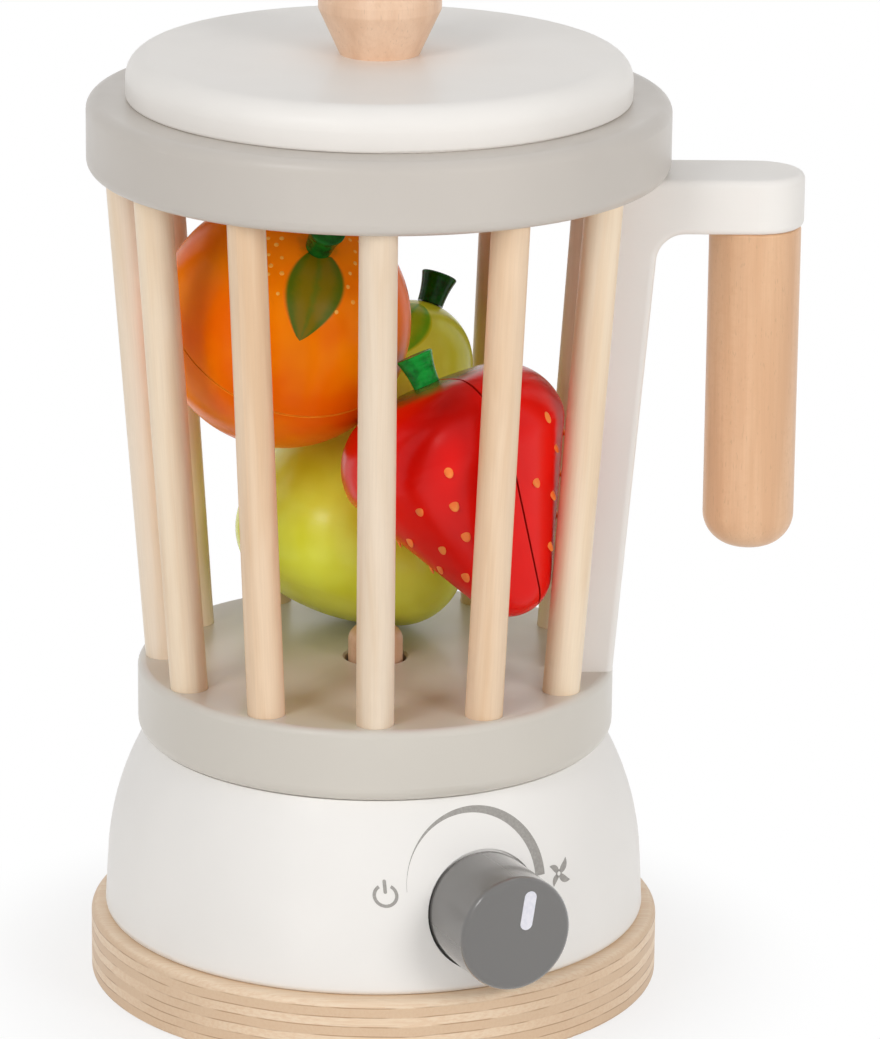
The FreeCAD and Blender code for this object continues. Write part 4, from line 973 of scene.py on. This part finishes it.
def drop_recipe():
    """Sets a flattened ball on a surface for each point of the seed mesh."""
    inputs = {**SURFACES, "Size": "Vector", "Variation": "Float", "Draw": "Int"}
    tree, source = new_recipe("paint_drops", inputs)
    cast = cast_onto(tree, source, attribute(tree, "inwards"))
    inputs = {"Mesh": source.outputs["Geometry"], "Selection": cast.outputs["Is Hit"]}
    points = add(tree, "GeometryNodeMeshToPoints", inputs)
    inputs = {"Geometry": points.outputs[0], "Position": cast.outputs["Hit Position"]}
    landed = add(tree, "GeometryNodeSetPosition", inputs)
    align = "FunctionNodeAlignRotationToVector"
    upright = add(tree, align, {"Vector": attribute(tree, "outwards")}, axis="Z")
    inputs = {"Rotation": upright.outputs[0], "Vector": attribute(tree, "along")}
    facing = add(tree, align, inputs, axis="Y", pivot_axis="Z")
    ball = add(tree, "GeometryNodeMeshUVSphere", {"Segments": 20, "Rings": 12, "Radius": 1.0})
    inputs = {"Min": 1.0, "Max": source.outputs["Variation"], "Seed": source.outputs["Draw"]}
    size = scaled(tree, source.outputs["Size"], random_value(tree, inputs))
    inputs = {
        "Points": landed.outputs[0],
        "Instance": ball.outputs["Mesh"],
        "Rotation": facing.outputs[0],
        "Scale": size,
    }
    serve(tree, add(tree, "GeometryNodeInstanceOnPoints", inputs).outputs[0])
    return tree


drops = drop_recipe()
print("drop recipe:", len(drops.nodes), "nodes")

# %% Where the drops go
def loose_points(name, fruit, places):
    """Points beside a fruit, from rows of (height in mm, angle from the stalk, heading)."""
    where = fruit_frames[fruit]
    turn = where.to_3x3()
    axis = turn @ Vector((0, 0, 1))
    points, outwards = [], []
    for height, polar, heading in places:
        aside = (turned(heading, "Z") @ turned(polar, "Y")).to_3x3()
        out = turn @ aside @ Vector((0, 0, 1))
        points.append(where @ Vector((0, 0, height * MM)) + out * BESIDE * MM)
        outwards.append(out)
    mesh = new_mesh(name, points)
    note(mesh, "inwards", [-out for out in outwards])
    note(mesh, "outwards", outwards)
    note(mesh, "along", [(axis - out * axis.dot(out)).normalized() for out in outwards])
    return mesh


def drop_paint(name, light, dark):
    """Thick paint of a drop."""
    finish, tree, shader = new_finish(name, 0.32, specular=0.3, coat=0.2)
    patchy = noise(tree, in_millimetres(tree), 0.5, 2.0)
    show(tree, shader, two_tone(tree, patchy, 0.35, 0.65, light, dark), patchy, 0.02)
    return finish


print(f"drops start {BESIDE} mm from the axis of their fruit")

# %% Strawberry seeds
SEEDS_DABBED = (
    # height above the widest place in mm, heading before the strawberry's own turn
    (-2.6, 111), (-11.2, 105), (-9.3, 85), (-19.9, 101), (-21.1, 78), (-16.4, 57), (-30.2, 76),
    (-26.2, 55), (-0.9, 174), (-9.1, 183), (-14.6, 160), (-20, 181), (-32, 180),
)
SEED_COLUMNS = (205, 230, 255, 280, 335, 0, 28)  # headings of the plainer columns behind
SEED_ROWS = 4
SEED_SPACING = 9.5
LOWEST_SEED = -34
SQUARE_TO_AXIS = 90  # degrees from the stalk to the line along which a seed is dabbed
strawberry_spin = FRUITS["strawberry"][3]
dabs = list(SEEDS_DABBED)
for column, heading in enumerate(SEED_COLUMNS):
    first = -2.0 if column % 2 else -7.0
    heights = [first - SEED_SPACING * row for row in range(SEED_ROWS)]
    dabs += [(height, heading) for height in heights if height > LOWEST_SEED]
seeds = [(height, SQUARE_TO_AXIS, heading - strawberry_spin) for height, heading in dabs]
seed_mesh = loose_points("seed_points", "strawberry", seeds)
strawberry_seeds = grown(
    "strawberry_seeds",
    seed_mesh,
    drops,
    surface=nodes["strawberry_front"],
    second_surface=nodes["strawberry_back"],
    size=(1.3 * MM, 1.9 * MM, 0.45 * MM),
    variation=0.82,
    draw=4,
    material=drop_paint("seed_paint", (253, 150, 66), (250, 126, 52)),
)
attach(strawberry_seeds, "fruit")
print(f"{len(seeds)} seeds, {len(strawberry_seeds.data.polygons)} faces")

# %% Dots on the orange
DOTS_SEEN = (
    # angle from the stalk, heading round it
    (23, -118), (19, -108), (23, -95), (18, -85), (24, -81), (22, -66), (31, -68), (30, -54),
    (22, 24), (29, 21), (31, 2), (28, -106), (29, -92), (27, -74), (17, -120), (33, -80),
)
DOT_RINGS = (
    # angle from the stalk, first heading and step of the rings on the far side
    (18, 40, 21), (23, 48, 17), (28, 38, 14), (33, 44, 13),
)
LAST_HEADING = 225
dots = [(0.0, polar, heading) for polar, heading in DOTS_SEEN]
for polar, first, step in DOT_RINGS:
    dots += [(0.0, polar, heading) for heading in range(first, LAST_HEADING, step)]
dot_mesh = loose_points("dot_points", "orange", dots)
orange_dots = grown(
    "orange_dots",
    dot_mesh,
    drops,
    surface=nodes["orange_upper"],
    second_surface=nodes["orange_lower"],
    size=(0.62 * MM, 0.62 * MM, 0.16 * MM),
    variation=0.75,
    draw=9,
    material=drop_paint("dot_paint", (255, 190, 84), (252, 172, 60)),
)
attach(orange_dots, "fruit")
print(f"{len(dots)} dots, {len(orange_dots.data.polygons)} faces")

# %% [markdown]
# ## Screws
#
# Countersunk wood screws hold the housing to the base, the bracket to the jug's floor and the
# knob to the lid. They are seen only from below or when the toy is taken apart. One screw is
# drawn ring by ring: a flat head with a cross-shaped recess, a cone, a shank with ridges for
# the thread, and a point. A third recipe sets copies of it, and these replace the plain screws
# of the construction model.

# %% One screw
HEAD_RINGS = 16
HEAD_RADIUS = 3.5
SHANK_RADIUS = 1.75
RECESS_DEPTH = 1.3
RECESS_REACH = 1.9
RECESS_HALF_WIDTH = 0.4
RECESS_RISE = 0.45
WALL_FOOT = 0.98
WALL_TOP = 1.02
THREAD_PITCH = 1.4
THREAD_DEPTH = 0.35
POINT_LENGTH = 3.0
TIP_RADIUS = 0.1


def screw_rings(length):
    """Radius and height of each ring, from the middle of the head to the point."""
    rings = [(HEAD_RADIUS * step / HEAD_RINGS, 0.0) for step in range(1, HEAD_RINGS + 1)]
    rings.append((SHANK_RADIUS, HEAD_RADIUS - SHANK_RADIUS))
    height = 2 * (HEAD_RADIUS - SHANK_RADIUS)
    while height < length - POINT_LENGTH - THREAD_PITCH:
        rings += [(SHANK_RADIUS, height), (SHANK_RADIUS - THREAD_DEPTH, height + THREAD_PITCH / 2)]
        height += THREAD_PITCH
    return rings + [(SHANK_RADIUS, length - POINT_LENGTH), (TIP_RADIUS, length)]


def ring_turns(radius):
    """Angles of a ring's points, in pairs at the walls of the cross, and whether each is in it."""
    wall = math.asin(min(0.7, RECESS_HALF_WIDTH / radius))
    half = math.pi / 4
    foot, top = wall * WALL_FOOT, wall * WALL_TOP
    eighth = (0, wall / 2, foot, top, (top + half) / 2, half)
    quarter = [*eighth, *(2 * half - turn for turn in eighth[4:0:-1])]
    within = [index in (0, 1, 2, 8, 9) for index in range(10)]
    arm_turns = [2 * half * arm for arm in range(4)]
    return [(turn + arm, inside) for arm in arm_turns for turn, inside in zip(quarter, within)]


def screw_mesh(name, length):
    """A screw with its head at the origin and its point along +Z, in metres."""
    rings = screw_rings(length)
    points = [Vector((0, 0, RECESS_DEPTH))]
    for radius, height in rings:
        hub = radius < RECESS_HALF_WIDTH * math.sqrt(2)
        for turn, inside in ring_turns(radius):
            sunk = height == 0 and radius < RECESS_REACH and (inside or hub)
            depth = RECESS_DEPTH * (1 - RECESS_RISE * radius / RECESS_REACH) if sunk else 0
            x, y = radius * math.cos(turn), radius * math.sin(turn)
            points.append(Vector((x, y, height + depth)))
    around = len(ring_turns(HEAD_RADIUS))
    following = [(step + 1) % around for step in range(around)]
    faces = [(0, 1 + following[step], 1 + step) for step in range(around)]
    for ring in range(len(rings) - 1):
        start = 1 + ring * around
        for step in range(around):
            first, second = start + step, start + following[step]
            faces.append((first, second, second + around, first + around))
    faces.append(tuple(range(len(points) - around, len(points))))
    return new_mesh(name, [point * MM for point in points], faces)


print("rings of a 30 mm screw:", len(screw_rings(30)))

# %% The screw recipe
SCREW_DRAW = 3


def screw_recipe():
    """Sets a copy of one screw on each point of the seed mesh."""
    tree, source = new_recipe("screw_set", {"Screw": "Object"})
    screw = add(tree, "GeometryNodeObjectInfo", {"Object": source.outputs["Screw"]})
    points = add(tree, "GeometryNodeMeshToPoints", {"Mesh": source.outputs["Geometry"]})
    any_turn = random_value(tree, {"Max": math.tau, "Seed": SCREW_DRAW})
    spin = add(tree, "ShaderNodeCombineXYZ", {"Z": any_turn})
    inputs = {
        "Points": points.outputs[0],
        "Instance": screw.outputs["Geometry"],
        "Rotation": spin.outputs[0],
    }
    serve(tree, add(tree, "GeometryNodeInstanceOnPoints", inputs).outputs[0])
    return tree


screws = screw_recipe()
SCREW_SETS = {
    # node: its body, length of a screw, places of the heads in mm
    "base_screws": (
        "base", 31.6,
        [(0, -66.8, 0.4), (66.8, 0, 0.4), (0, 66.8, 0.4), (-66.8, 0, 0.4)],
    ),
    "bracket_screws": ("jug", 32.9, [(54.13, -6.5, 67.3), (54.13, 6.5, 67.3)]),
    "lid_screw": ("lid", 31.8, [(0, 0, 230.2)]),
}
for node, (body, length, places) in SCREW_SETS.items():
    template = bpy.data.objects.new(f"{node}_one", screw_mesh(f"{node}_one", length))
    seed = new_mesh(f"{node}_places", [Vector(place) * MM for place in places])
    piece = grown(f"{node}_cross_head", seed, screws, screw=template, material=steel)
    bpy.data.objects.remove(template)
    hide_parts(node)
    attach(piece, body)
    low = min(vertex.co.z for vertex in piece.data.vertices) / MM
    cad_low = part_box(node)[0].z / MM
    print(f"{piece.name}: {len(places)} screws, heads at {low:.2f} mm, CAD {cad_low:.2f}")
